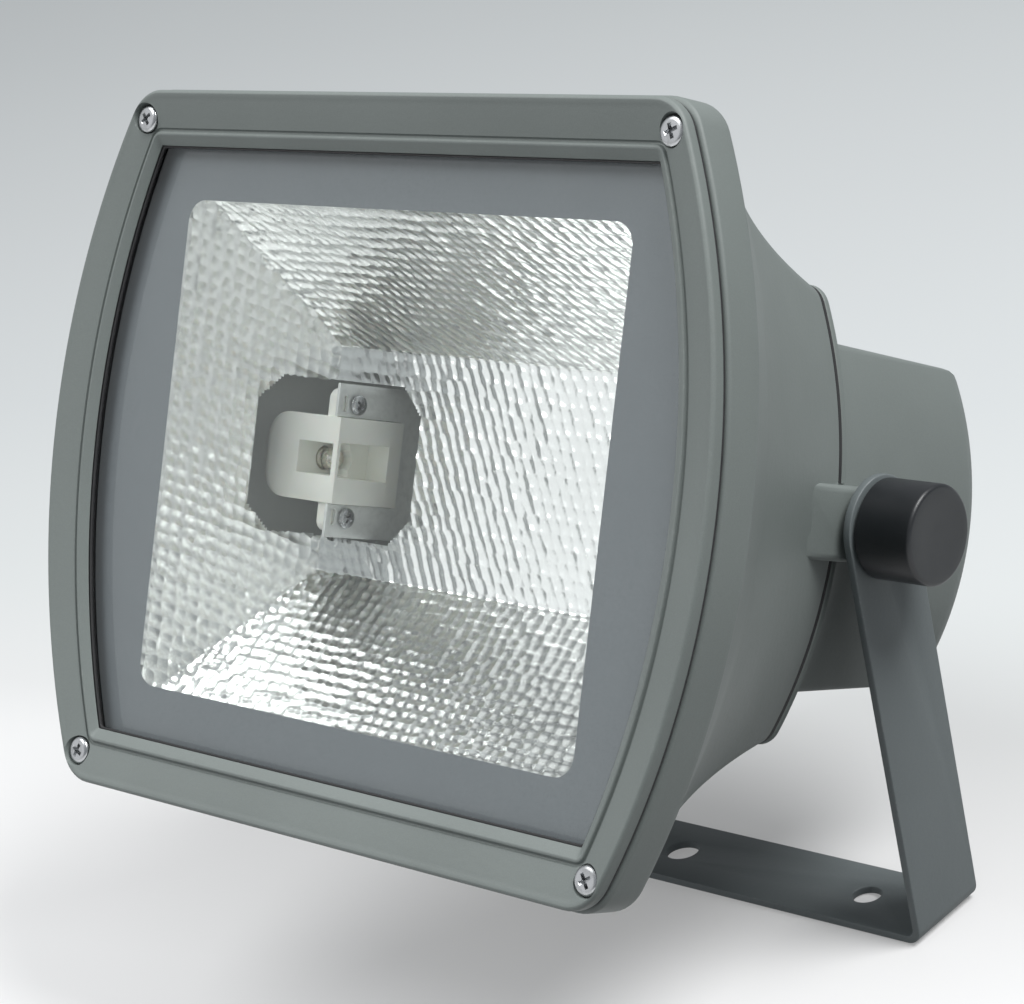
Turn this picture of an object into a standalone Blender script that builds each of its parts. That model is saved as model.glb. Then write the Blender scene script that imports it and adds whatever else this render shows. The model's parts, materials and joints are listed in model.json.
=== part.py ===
"""Floodlight for a double-ended lamp, tilting in a U-shaped bracket.

Lengths are in metres and +Z is up. The head is drawn in its own frame: the origin is the middle of the
tilt axis, +X is the viewer's right, -Y is the way the light shines and +Z is the top. Left and right are
the viewer's.
"""
import math
from typing import NamedTuple

import bmesh
import bpy
from mathutils import Vector

# Gaps
SEAT_GAP = 0.0003
SCREW_GAP = 0.0004
NOTCH_GAP = 0.0005
OVERCUT = 0.002
SHARP_ANGLE = math.radians(35)

# Front frame
FRAME_HALF_WIDTH = 0.1574
FRAME_HALF_HEIGHT = 0.1267
FRAME_BOW = 0.030
FRAME_CORNER = 0.015
SIDE_BORDER = 0.0184
TOP_BORDER = 0.0197
OPENING_BOW = 0.0201
OPENING_CORNER = 0.0006
FRAME_FRONT = -0.1354
FRAME_DEPTH = 0.0045
FRAME_EDGE_ROUND = 0.0015
BAND_WIDTH = 0.0135
BAND_DISH = 0.0032
GROOVE_WIDTH = 0.0014
GROOVE_DEPTH = 0.0008
BEAD_WIDTH = 0.0012
BEAD_RISE = 0.0004
BEVEL_DROP = 0.0023
LIP_THICKNESS = 0.0003
FRAME_SCREW_SIDE_INSET = 0.0324
FRAME_SCREW_TOP_INSET = 0.0106
FRAME_SEAT_THICKNESS = 0.0007

# Gaskets and glass
FRAME_GASKET_THICKNESS = 0.0008
FRAME_GASKET_INSET = 0.0008
FRAME_GASKET_WIDTH = 0.0026
GLASS_OVERLAP = 0.0035
GLASS_CORNER = 0.006
GLASS_THICKNESS = 0.004
GLASS_GASKET_WALL = 0.0015
GLASS_GASKET_FRONT = 0.0009
GLASS_GASKET_BACK = 0.0015
GLASS_GASKET_SHOWS = 0.0007

# Main housing
RIM_OVERHANG = 0.001
RIM_ROUND = 0.0016
RIM_DEPTH = 0.0165
HOUSING_WALL = 0.003
CREASE_Y = -0.081
CREASE_INSET = 0.0211
SHALLOW_PULL_Y = -0.0521
SHALLOW_PULL_INSET = 0.035
NECK_INSET = 0.046
NECK_Y = -0.0086
NECK_BOW = 0.0195
NECK_CORNER = 0.010
BULKHEAD_THICKNESS = 0.004
POCKET_WALL = 0.003
REFLECTOR_STEP = 0.0016
REFLECTOR_REST = 0.006
LEDGE_THICKNESS = 0.0025
LEDGE_SIDE_INSET = 0.0212
LEDGE_TOP_INSET = 0.0048
LEDGE_BOW = 0.002
LEDGE_CORNER = 0.003
BOSS_WALL = 0.0029
GROMMET_HOLE_RADIUS = 0.009
GROMMET_Z = -0.040
GROMMET_BORE_RADIUS = 0.005
GROMMET_FLANGE = 0.003
GROMMET_LIP = 0.0015

# Rear cover and its seal
SEAL_THICKNESS = 0.001
SEAL_INSET = 0.0008
SEAL_WIDTH = 0.0042
COVER_LIP = 0.003
COVER_FILLET = 0.012
COVER_SIDE_STEP = 0.0029
COVER_TOP_STEP = 0.019
COVER_BOW = 0.0163
COVER_CORNER = 0.005
COVER_DRAFT = math.radians(2.5)
COVER_REAR = 0.097
COVER_ROUND = 0.022
COVER_WALL = 0.0025
COVER_SCREW_SIDE_INSET = 0.0414
COVER_SCREW_TOP_INSET = 0.0077
SPOT_FACE_DEPTH = 0.0004

# Pivot
LUG_RADIUS = 0.013
LUG_STANDOFF = 0.0086
LUG_ROOT_DEPTH = 0.0022
LUG_REACH = 0.044
STUD_RADIUS = 0.004
STUD_DEPTH = 0.0087
FRICTION_WASHER_THICKNESS = 0.0015
FRICTION_WASHER_RADIUS = 0.0125
KNOB_WASHER_THICKNESS = 0.0012
KNOB_WASHER_RADIUS = 0.010
KNOB_RADIUS = 0.0175
KNOB_LENGTH = 0.0224
KNOB_ROUND = 0.0018
KNOB_INNER_EDGE = 0.0006
KNOB_RECESS = 0.0007
KNOB_BORE_DEPTH = 0.0165
TILT = math.radians(26.6)

# Mounting bracket
PIVOT_HEIGHT = 0.1558
STRIP_WIDTH = 0.037
STRIP_THICKNESS = 0.003
BEND_RADIUS = 0.003
BASE_HOLE_RADIUS = 0.0065
SIDE_HOLE_RADIUS = 0.0055
SIDE_HOLE_INSET = 0.0337

# Reflector
REFLECTOR_SHEET = 0.0008
REFLECTOR_BACK_Y = -0.050
MOUTH_SIDE_INSET = 0.0038
MOUTH_TOP_INSET = 0.0022
END_RAKE = 0.0167
TROUGH_RAKE = 0.057
TROUGH_FLANGE = 0.005
END_FLANGE = 0.014
END_FLANGE_TOP_INSET = 0.034
CUTOUT_SIDE_ROOM = 0.018
CUTOUT_FRONT_ROOM = 0.0095
CUTOUT_PLATE_ROOM = 0.001
CUTOUT_CHAMFER = 0.010
REFLECTOR_SCREW_SETOUT = 0.0095
REFLECTOR_SCREW_TOP_INSET = 0.008

# Lamp holders, as on the right; the left one is its mirror image
HOLDER_REACH = 0.0283
HOLDER_LENGTH = 0.042
HOLDER_FRONT_Y = -0.0735
HOLDER_DEPTH = 0.033
HOLDER_HALF_HEIGHT = 0.016
HOLDER_CHAMFER = 0.006
EAR_SETBACK = 0.0037
EAR_THICKNESS = 0.005
EAR_WIDTH = 0.020
EAR_LEAD = 0.008
EAR_ABOVE_SCREW = 0.0055
CHANNEL_DEPTH = 0.011
CHANNEL_LENGTH = 0.025
CHANNEL_HALF_HEIGHT = 0.0067
CHANNEL_BRIDGE = 0.0015
SLOT_LENGTH = 0.0185
SLOT_HALF_HEIGHT = 0.006
SLOT_BRIDGE = 0.0025
SLOT_DEPTH = 0.017
PLATE_SHEET = 0.0012
PLATE_ABOVE_EAR = 0.002
FOOT_LENGTH = 0.020
FOOT_SCREW_REACH = 0.012
HOLDER_SCREW_SETOUT = 0.005
HOLDER_SCREW_SETBACK = 0.0095
CONTACT_RADIUS = 0.0042
CONTACT_TIP_RADIUS = 0.0022
CONTACT_TIP_LENGTH = 0.0013
CONTACT_LENGTH = 0.014
CONTACT_SETBACK = 0.0135
CONTACT_TRAVEL = 0.003

# Gear
TRAY_SHEET = 0.0015
TRAY_SIDE_INSET = 0.0245
TRAY_TOP_INSET = 0.0192
TRAY_CORNER = 0.006
TRAY_STANDOFF = 0.0083
TRAY_SCREW_SIDE_INSET = 0.008
TRAY_SCREW_TOP_INSET = 0.0055
CORE_DEPTH = 0.053
CORE_SCREW_ROOM = 0.006
COIL_OVERHANG = 0.012
IGNITOR_WIDTH = 0.036
IGNITOR_HEIGHT = 0.028
IGNITOR_DEPTH = 0.040
IGNITOR_CORNER = 0.003
IGNITOR_SCREW_ROOM = 0.011
CAPACITOR_RADIUS = 0.0145
CAPACITOR_DEPTH = 0.060
CAPACITOR_CHAMFER = 0.001
CAPACITOR_SCREW_ROOM = 0.0175
CAPACITOR_ROOM = 0.003
TERMINAL_ROOM = 0.0075
TERMINAL_WIDTH = 0.017
TERMINAL_HEIGHT = 0.054
TERMINAL_DEPTH = 0.020
TERMINAL_WAYS = 5
TERMINAL_GAP = 0.0022

# Cable gland, under the rear cover
GLAND_Y = 0.030
GLAND_PAD_RADIUS = 0.014
GLAND_PAD_RISE = 0.0015
GLAND_RADIUS = 0.008
GLAND_BORE = 0.0048
GLAND_HEX_RADIUS = 0.0115
GLAND_HEX_HEIGHT = 0.005
GLAND_NECK_LENGTH = 0.009
GLAND_NUT_WALL = 0.0015
GLAND_SEAL_LENGTH = 0.007
LOCK_NUT_THICKNESS = 0.003
GLAND_THREAD_LENGTH = 0.010

# Screws: radius of the shank, radius and height of the head, length under the head
M5_RADIUS = 0.0025
M5_HEAD_RADIUS = 0.005
M5_HEAD_HEIGHT = 0.0024
FRAME_SCREW_LENGTH = 0.016
COVER_SCREW_LENGTH = 0.014
M4_RADIUS = 0.002
M4_HEAD_RADIUS = 0.0038
M4_HEAD_HEIGHT = 0.0018
TRAY_SCREW_LENGTH = 0.008
HOLDER_SCREW_LENGTH = 0.0058
FOOT_SCREW_LENGTH = 0.0038
M3_RADIUS = 0.0015
M3_HEAD_RADIUS = 0.003
M3_HEAD_HEIGHT = 0.0014
REFLECTOR_SCREW_LENGTH = 0.003
PAN_SHARE = 0.6

# Facets
SIDE_STEPS = 4
CORNER_STEPS = 3
ROUND_STEPS = 24
SMALL_STEPS = 12
SCREW_STEPS = 10
KNOB_STEPS = 32
TAPER_STEPS = 5
FILLET_STEPS = 4
EDGE_STEPS = 2

LEFT = -1
RIGHT = 1
SIDES = {"left": LEFT, "right": RIGHT}
CORNERS = {"top_left": (-1, 1), "top_right": (1, 1), "bottom_left": (-1, -1), "bottom_right": (1, -1)}


class Section(NamedTuple):
    """An outline with bowed sides, rounded corners and a straight top and bottom."""

    half_width: float
    half_height: float
    bow: float
    corner: float

    def side_radius(self):
        return (self.half_height**2 + self.bow**2) / (2 * self.bow)

    def grown(self, offset):
        """The outline parallel to this one, offset outwards."""
        radius = self.side_radius() + offset
        half_height = self.half_height + offset
        bow = radius - math.sqrt(radius**2 - half_height**2)
        corner = max(self.corner + offset, OPENING_CORNER)
        return Section(self.half_width + offset, half_height, bow, corner)

    def points(self):
        """Points (x, z), anticlockwise from the lower end of the right side."""
        radius = self.side_radius()
        centre = self.half_width - radius
        corner_z = self.half_height - self.corner
        corner_x = centre + math.sqrt((radius - self.corner)**2 - corner_z**2)
        side_angle = math.atan2(corner_z, corner_x - centre)
        quarter = [(centre + radius * math.cos(angle), radius * math.sin(angle))
                   for angle in spread(0, side_angle, SIDE_STEPS)]
        quarter += [(corner_x + self.corner * math.cos(angle), corner_z + self.corner * math.sin(angle))
                    for angle in spread(side_angle, math.pi / 2, CORNER_STEPS)[1:]]
        right = [(x, -z) for x, z in reversed(quarter[1:])] + quarter
        return right + [(-x, -z) for x, z in right]


def spread(first, last, steps):
    """Evenly spaced values from first to last, both included."""
    return [first + (last - first) * step / steps for step in range(steps + 1)]


def blend(start, end, share):
    """The section that lies the given share of the way from start to end."""
    return Section(*(a + (b - a) * share for a, b in zip(start, end)))


# The small gear stands on the right of the tray; its stack sets the height of tray, rear cover and neck
TRAY_SCREW_Z = (IGNITOR_SCREW_ROOM + IGNITOR_HEIGHT + CAPACITOR_ROOM + CAPACITOR_RADIUS + CAPACITOR_SCREW_ROOM) / 2
CAPACITOR_Z = TRAY_SCREW_Z - CAPACITOR_SCREW_ROOM
IGNITOR_Z = IGNITOR_SCREW_ROOM - TRAY_SCREW_Z + IGNITOR_HEIGHT / 2
TRAY_HALF_HEIGHT = TRAY_SCREW_Z + TRAY_SCREW_TOP_INSET
COVER_HALF_HEIGHT = TRAY_HALF_HEIGHT + TRAY_TOP_INSET
NECK_HALF_HEIGHT = COVER_HALF_HEIGHT + COVER_TOP_STEP

# Outlines
FRAME = Section(FRAME_HALF_WIDTH, FRAME_HALF_HEIGHT, FRAME_BOW, FRAME_CORNER)
OPENING = Section(FRAME.half_width - SIDE_BORDER, FRAME.half_height - TOP_BORDER, OPENING_BOW, OPENING_CORNER)
GLASS = Section(*OPENING.grown(GLASS_OVERLAP)[:3], GLASS_CORNER)
NECK = Section(FRAME.half_width - NECK_INSET, NECK_HALF_HEIGHT, NECK_BOW, NECK_CORNER)
COVER = Section(NECK.half_width - COVER_SIDE_STEP, COVER_HALF_HEIGHT, COVER_BOW, COVER_CORNER)
LEDGE = Section(OPENING.half_width - LEDGE_SIDE_INSET, OPENING.half_height - LEDGE_TOP_INSET,
                LEDGE_BOW, LEDGE_CORNER)

# Screws of the frame and of the rear cover
FRAME_SCREW_X = FRAME.half_width - FRAME_SCREW_SIDE_INSET
FRAME_SCREW_Z = FRAME.half_height - FRAME_SCREW_TOP_INSET
COVER_SCREW_X = NECK.half_width - COVER_SCREW_SIDE_INSET
COVER_SCREW_Z = NECK.half_height - COVER_SCREW_TOP_INSET

# Depths of the front stack, from the frame's front face back
FRAME_BACK = FRAME_FRONT + FRAME_DEPTH
FRAME_GASKET_FRONT = FRAME_BACK + SEAT_GAP
RIM_FRONT = FRAME_GASKET_FRONT + FRAME_GASKET_THICKNESS + SEAT_GAP
BEAD_CREST = FRAME_FRONT + BAND_DISH - BEAD_RISE
LIP_FRONT = BEAD_CREST + BEVEL_DROP
LIP_BACK = LIP_FRONT + LIP_THICKNESS
GLASS_GASKET_FRONT_Y = LIP_BACK + SEAT_GAP
GLASS_FRONT = GLASS_GASKET_FRONT_Y + GLASS_GASKET_FRONT + SEAT_GAP
GLASS_BACK = GLASS_FRONT + GLASS_THICKNESS
GLASS_GASKET_BACK_Y = GLASS_BACK + SEAT_GAP + GLASS_GASKET_BACK
POCKET_FLOOR = GLASS_GASKET_BACK_Y + SEAT_GAP
REFLECTOR_FLOOR = POCKET_FLOOR + REFLECTOR_STEP
LEDGE_BACK = REFLECTOR_FLOOR + LEDGE_THICKNESS
MOUTH_Y = REFLECTOR_FLOOR - SEAT_GAP - REFLECTOR_SHEET
FRAME_SEAT = FRAME_BACK - FRAME_SEAT_THICKNESS
RIM_BACK = RIM_FRONT + RIM_DEPTH

# Depths at the neck
BULKHEAD_FRONT = NECK_Y - BULKHEAD_THICKNESS
SEAL_FRONT = NECK_Y + SEAT_GAP
COVER_FRONT = SEAL_FRONT + SEAL_THICKNESS + SEAT_GAP
COVER_SEAT = COVER_FRONT + COVER_LIP
COVER_SCREW_SEAT = COVER_SEAT - SPOT_FACE_DEPTH
TRAY_BACK = COVER_REAR - COVER_WALL - TRAY_STANDOFF
TRAY_FRONT = TRAY_BACK - TRAY_SHEET
GEAR_SEAT = TRAY_FRONT - SEAT_GAP

# Places along the tilt axis
LUG_FACE_X = NECK.half_width + LUG_STANDOFF
LUG_ROOT_X = NECK.half_width - LUG_ROOT_DEPTH
ARM_INNER_X = LUG_FACE_X + 2 * SEAT_GAP + FRICTION_WASHER_THICKNESS
ARM_OUTER_X = ARM_INNER_X + STRIP_THICKNESS
KNOB_WASHER_X = ARM_OUTER_X + SEAT_GAP
KNOB_INNER_X = KNOB_WASHER_X + KNOB_WASHER_THICKNESS + SEAT_GAP - KNOB_RECESS
SIDE_HOLE_X = ARM_INNER_X - SIDE_HOLE_INSET

# Reflector, and the lamp holders that reach into it
MOUTH_HALF_WIDTH = LEDGE.half_width - MOUTH_SIDE_INSET
MOUTH_HALF_HEIGHT = LEDGE.half_height - MOUTH_TOP_INSET
REFLECTOR_BACK_HALF_WIDTH = MOUTH_HALF_WIDTH - END_RAKE
REFLECTOR_BACK_HALF_HEIGHT = MOUTH_HALF_HEIGHT - TROUGH_RAKE
END_FLANGE_HALF_HEIGHT = MOUTH_HALF_HEIGHT - END_FLANGE_TOP_INSET
REFLECTOR_SCREW_X = MOUTH_HALF_WIDTH + REFLECTOR_SCREW_SETOUT
REFLECTOR_SCREW_Z = END_FLANGE_HALF_HEIGHT - REFLECTOR_SCREW_TOP_INSET
HOLDER_X = REFLECTOR_BACK_HALF_WIDTH - HOLDER_REACH
EAR_X = HOLDER_X + EAR_SETBACK
CONTACT_X = HOLDER_X + CONTACT_SETBACK
HOLDER_SCREW_Z = HOLDER_HALF_HEIGHT + HOLDER_SCREW_SETOUT
EAR_HALF_HEIGHT = HOLDER_SCREW_Z + EAR_ABOVE_SCREW
PLATE_HALF_HEIGHT = EAR_HALF_HEIGHT + PLATE_ABOVE_EAR
CUTOUT_X = HOLDER_X - CUTOUT_SIDE_ROOM
CUTOUT_FRONT_Y = HOLDER_FRONT_Y - CUTOUT_FRONT_ROOM
CUTOUT_HALF_HEIGHT = PLATE_HALF_HEIGHT + CUTOUT_PLATE_ROOM

# Along the tray, the ballast takes the room that the small gear leaves
TRAY_HALF_WIDTH = COVER.half_width - TRAY_SIDE_INSET
TRAY_SCREW_X = TRAY_HALF_WIDTH - TRAY_SCREW_SIDE_INSET
IGNITOR_X = TRAY_HALF_WIDTH - IGNITOR_WIDTH / 2
TERMINAL_X = IGNITOR_X - (IGNITOR_WIDTH + TERMINAL_WIDTH) / 2 - TERMINAL_ROOM
CORE_LEFT = -TRAY_SCREW_X
CORE_RIGHT = TERMINAL_X - TERMINAL_WIDTH / 2 - TERMINAL_ROOM - COIL_OVERHANG
CORE_HALF_HEIGHT = TRAY_SCREW_Z - CORE_SCREW_ROOM
CORE_LIMB = CORE_HALF_HEIGHT / 3


# Shapes: a shape is a list of points with a list of faces

def at_axis(axis, along, a, b):
    """The point at a distance along an axis, with (a, b) across it in the order X, Y, Z."""
    return {"X": (along, a, b), "Y": (a, along, b), "Z": (a, b, along)}[axis]


def loft(rings, closed=False):
    """Rings of equal count joined in turn; an open loft has a cap on each end."""
    count = len(rings[0])
    faces = []
    for ring in range(len(rings) if closed else len(rings) - 1):
        near = ring * count
        far = (ring + 1) % len(rings) * count
        faces += [(near + i, near + (i + 1) % count, far + (i + 1) % count, far + i) for i in range(count)]
    points = [point for ring in rings for point in ring]
    if not closed:
        faces += [tuple(range(count)), tuple(range(len(points) - count, len(points)))]
    return points, faces


def stack(levels, closed=False):
    """A loft through sections (section, y) set square to the Y axis."""
    return loft([[(x, y, z) for x, z in section.points()] for section, y in levels], closed)


def prism(axis, outline, low, high):
    return loft([[at_axis(axis, along, a, b) for a, b in outline] for along in (low, high)])


def box(low, high):
    outline = [(low[0], low[2]), (high[0], low[2]), (high[0], high[2]), (low[0], high[2])]
    return prism("Y", outline, low[1], high[1])


def circle(centre, radius, steps):
    return [(centre[0] + radius * math.cos(angle), centre[1] + radius * math.sin(angle))
            for angle in spread(0, 2 * math.pi, steps)[:-1]]


def turned(axis, centre, profile, steps, closed=False):
    """A profile of (distance along the axis, radius) turned round the axis through centre."""
    return loft([[at_axis(axis, along, a, b) for a, b in circle(centre, radius, steps)]
                 for along, radius in profile], closed)


def ring(axis, centre, low, high, inner, outer, steps):
    return turned(axis, centre, [(low, inner), (low, outer), (high, outer), (high, inner)], steps, closed=True)


def rounded_slab(axis, centre, half_a, half_b, corner, low, high):
    """A plate with rounded corners."""
    outline = []
    for quarter, (side_a, side_b) in enumerate([(1, 1), (-1, 1), (-1, -1), (1, -1)]):
        middle = (centre[0] + side_a * (half_a - corner), centre[1] + side_b * (half_b - corner))
        start = quarter * math.pi / 2
        outline += [(middle[0] + corner * math.cos(angle), middle[1] + corner * math.sin(angle))
                    for angle in spread(start, start + math.pi / 2, CORNER_STEPS)]
    return prism(axis, outline, low, high)


def sheet_outline(path, thickness):
    """The closed outline of a folded sheet: the path, and its copy offset to the left by the thickness."""
    path = [Vector(point) for point in path]
    directions = [(end - start).normalized() for start, end in zip(path, path[1:])]
    offset = []
    for index, point in enumerate(path):
        before = directions[max(index - 1, 0)]
        after = directions[min(index, len(directions) - 1)]
        normals = [Vector((-direction.y, direction.x)) for direction in (before, after)]
        mitre = (normals[0] + normals[1]).normalized()
        offset.append(point + mitre * thickness / mitre.dot(normals[0]))
    return [tuple(point) for point in path + offset[::-1]]


def together(*shapes):
    """Shapes gathered into one, still as separate bodies."""
    points, faces = [], []
    for shape_points, shape_faces in shapes:
        faces += [tuple(len(points) + index for index in face) for face in shape_faces]
        points += shape_points
    return points, faces


def mirrored(shape, side):
    """The shape itself for the right side, and its mirror image in X for the left."""
    points, faces = shape
    return [(side * x, y, z) for x, y, z in points], faces


def both_sides(shape):
    return together(mirrored(shape, LEFT), mirrored(shape, RIGHT))


# Objects

def make_material(name, colour, roughness, metallic=0.0, transmission=0.0):
    material = bpy.data.materials.new(name)
    material.use_nodes = True
    shader = material.node_tree.nodes["Principled BSDF"]
    shader.inputs["Base Color"].default_value = (*colour, 1)
    shader.inputs["Roughness"].default_value = roughness
    shader.inputs["Metallic"].default_value = metallic
    shader.inputs["Transmission Weight"].default_value = transmission
    return material


def make_object(name, shape, parent, material=None):
    points, faces = shape
    mesh = bpy.data.meshes.new(name)
    mesh.from_pydata(points, [], faces)
    shaping = bmesh.new()
    shaping.from_mesh(mesh)
    bmesh.ops.recalc_face_normals(shaping, faces=shaping.faces)
    shaping.to_mesh(mesh)
    shaping.free()
    mesh.shade_smooth()
    mesh.set_sharp_from_angle(angle=SHARP_ANGLE)
    if material:
        mesh.materials.append(material)
    thing = bpy.data.objects.new(name, mesh)
    thing.parent = parent
    bpy.context.collection.objects.link(thing)
    return thing


def shape_with(target, operation, shapes):
    """Cut shapes from the target or join shapes to it, one Boolean for each."""
    for number, shape in enumerate(shapes, 1):
        tool = make_object(f"{target.name}_{operation.lower()}_{number}", shape, target.parent)
        tool.hide_render = True
        tool.display_type = "WIRE"
        boolean = target.modifiers.new(tool.name, "BOOLEAN")
        boolean.operation = operation
        boolean.solver = "EXACT"
        boolean.object = tool


def cut(target, *shapes):
    shape_with(target, "DIFFERENCE", shapes)


def join(target, *shapes):
    shape_with(target, "UNION", shapes)


def make_empty(name, parent=None, location=(0, 0, 0)):
    empty = bpy.data.objects.new(name, None)
    empty.parent = parent
    empty.location = location
    bpy.context.collection.objects.link(empty)
    return empty


def pan_screw(axis, centre, seat, way, shank, head_radius, head_height, length):
    """A pan-head screw whose head stands off its seat the given way, +1 or -1, along the axis."""
    under_head = seat + way * SEAT_GAP
    profile = [(under_head - way * length, shank), (under_head, shank), (under_head, head_radius),
               (under_head + way * head_height * PAN_SHARE, head_radius),
               (under_head + way * head_height, head_radius * PAN_SHARE)]
    return turned(axis, centre, profile, SCREW_STEPS)


def m5_screw(axis, centre, seat, way, length):
    return pan_screw(axis, centre, seat, way, M5_RADIUS, M5_HEAD_RADIUS, M5_HEAD_HEIGHT, length)


def m4_screw(axis, centre, seat, way, length):
    return pan_screw(axis, centre, seat, way, M4_RADIUS, M4_HEAD_RADIUS, M4_HEAD_HEIGHT, length)


def hole(axis, centre, low, high, radius):
    return turned(axis, centre, [(low, radius), (high, radius)], SMALL_STEPS)


# Front frame and glass

def frame_section(inset):
    """The frame's outline, inset from its outer edge towards the opening."""
    return blend(FRAME, OPENING, inset / TOP_BORDER)


def make_front_frame(head, material):
    groove_end = BAND_WIDTH + GROOVE_WIDTH
    groove_floor = FRAME_FRONT + BAND_DISH + GROOVE_DEPTH
    step_back = GLASS_OVERLAP + GLASS_GASKET_WALL + 2 * SEAT_GAP
    edge = [(FRAME_EDGE_ROUND * (1 - math.cos(angle)), FRAME_FRONT + FRAME_EDGE_ROUND * (1 - math.sin(angle)))
            for angle in spread(0, math.pi / 2, EDGE_STEPS)]
    profile = [(0, FRAME_BACK)] + edge + [
        (BAND_WIDTH, FRAME_FRONT + BAND_DISH),
        (BAND_WIDTH + GROOVE_WIDTH / 4, groove_floor),
        (groove_end - GROOVE_WIDTH / 4, groove_floor),
        (groove_end, BEAD_CREST + BEAD_RISE),
        (groove_end + BEAD_RISE, BEAD_CREST),
        (groove_end + BEAD_WIDTH, BEAD_CREST),
        (TOP_BORDER, LIP_FRONT),
        (TOP_BORDER, LIP_BACK),
        (TOP_BORDER - step_back, LIP_BACK),
        (TOP_BORDER - step_back - 2 * SEAT_GAP, FRAME_BACK)]
    frame = make_object("front_frame", stack([(frame_section(inset), y) for inset, y in profile], closed=True),
                        head, material)
    for side, level in CORNERS.values():
        centre = (side * FRAME_SCREW_X, level * FRAME_SCREW_Z)
        cut(frame,
            turned("Y", centre, [(FRAME_FRONT - OVERCUT, M5_HEAD_RADIUS + SCREW_GAP),
                                 (FRAME_SEAT, M5_HEAD_RADIUS + SCREW_GAP)], ROUND_STEPS),
            hole("Y", centre, FRAME_SEAT - OVERCUT, FRAME_BACK + OVERCUT, M5_RADIUS + SCREW_GAP))


def make_frame_screws(head, material):
    for corner, (side, level) in CORNERS.items():
        centre = (side * FRAME_SCREW_X, level * FRAME_SCREW_Z)
        make_object(f"frame_screw_{corner}", m5_screw("Y", centre, FRAME_SEAT, -1, FRAME_SCREW_LENGTH),
                    head, material)


def make_glazing(head, glass, rubber):
    make_object("front_glass", stack([(GLASS, GLASS_FRONT), (GLASS, GLASS_BACK)]), head, glass)
    outer = GLASS.grown(GLASS_GASKET_WALL + SEAT_GAP)
    edge = GLASS.grown(SEAT_GAP)
    front_lip = GLASS.grown(-GLASS_OVERLAP - GLASS_GASKET_SHOWS)
    back_lip = GLASS.grown(-GLASS_OVERLAP)
    make_object("glass_gasket", stack([
        (outer, GLASS_GASKET_FRONT_Y), (outer, GLASS_GASKET_BACK_Y),
        (back_lip, GLASS_GASKET_BACK_Y), (back_lip, GLASS_BACK + SEAT_GAP),
        (edge, GLASS_BACK + SEAT_GAP), (edge, GLASS_FRONT - SEAT_GAP),
        (front_lip, GLASS_FRONT - SEAT_GAP), (front_lip, GLASS_GASKET_FRONT_Y)], closed=True), head, rubber)
    gasket_outer = frame_section(FRAME_GASKET_INSET)
    gasket_inner = frame_section(FRAME_GASKET_INSET + FRAME_GASKET_WIDTH)
    gasket_back = FRAME_GASKET_FRONT + FRAME_GASKET_THICKNESS
    make_object("frame_gasket", stack([
        (gasket_outer, FRAME_GASKET_FRONT), (gasket_outer, gasket_back),
        (gasket_inner, gasket_back), (gasket_inner, FRAME_GASKET_FRONT)], closed=True), head, rubber)


# Main housing

def housing_section(inset):
    """The housing's outline between rim and neck, by its inset from the frame's outline."""
    return blend(FRAME, NECK, inset / NECK_INSET)


def housing_taper():
    """Places (y, inset, slope) of the outer skin: a steep run to the crease, then a curve to the neck."""
    steep_slope = (CREASE_INSET - RIM_OVERHANG) / (CREASE_Y - RIM_BACK)
    places = [(RIM_BACK, RIM_OVERHANG / 2, steep_slope), (CREASE_Y, CREASE_INSET, steep_slope)]
    for share in spread(0, 1, TAPER_STEPS)[1:]:
        rest = 1 - share
        y = rest**2 * CREASE_Y + 2 * rest * share * SHALLOW_PULL_Y + share**2 * NECK_Y
        inset = rest**2 * CREASE_INSET + 2 * rest * share * SHALLOW_PULL_INSET + share**2 * NECK_INSET
        rise = rest * (SHALLOW_PULL_INSET - CREASE_INSET) + share * (NECK_INSET - SHALLOW_PULL_INSET)
        run = rest * (SHALLOW_PULL_Y - CREASE_Y) + share * (NECK_Y - SHALLOW_PULL_Y)
        places.append((y, inset, rise / run))
    return places


def lug_outline(gap=0.0):
    """The lug seen along the tilt axis: a round end behind the axis and straight edges forward."""
    radius = LUG_RADIUS + gap
    end = [(radius * math.cos(angle), radius * math.sin(angle))
           for angle in spread(-math.pi / 2, math.pi / 2, SMALL_STEPS)]
    return [(-LUG_REACH, -radius)] + end + [(-LUG_REACH, radius)]


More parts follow.
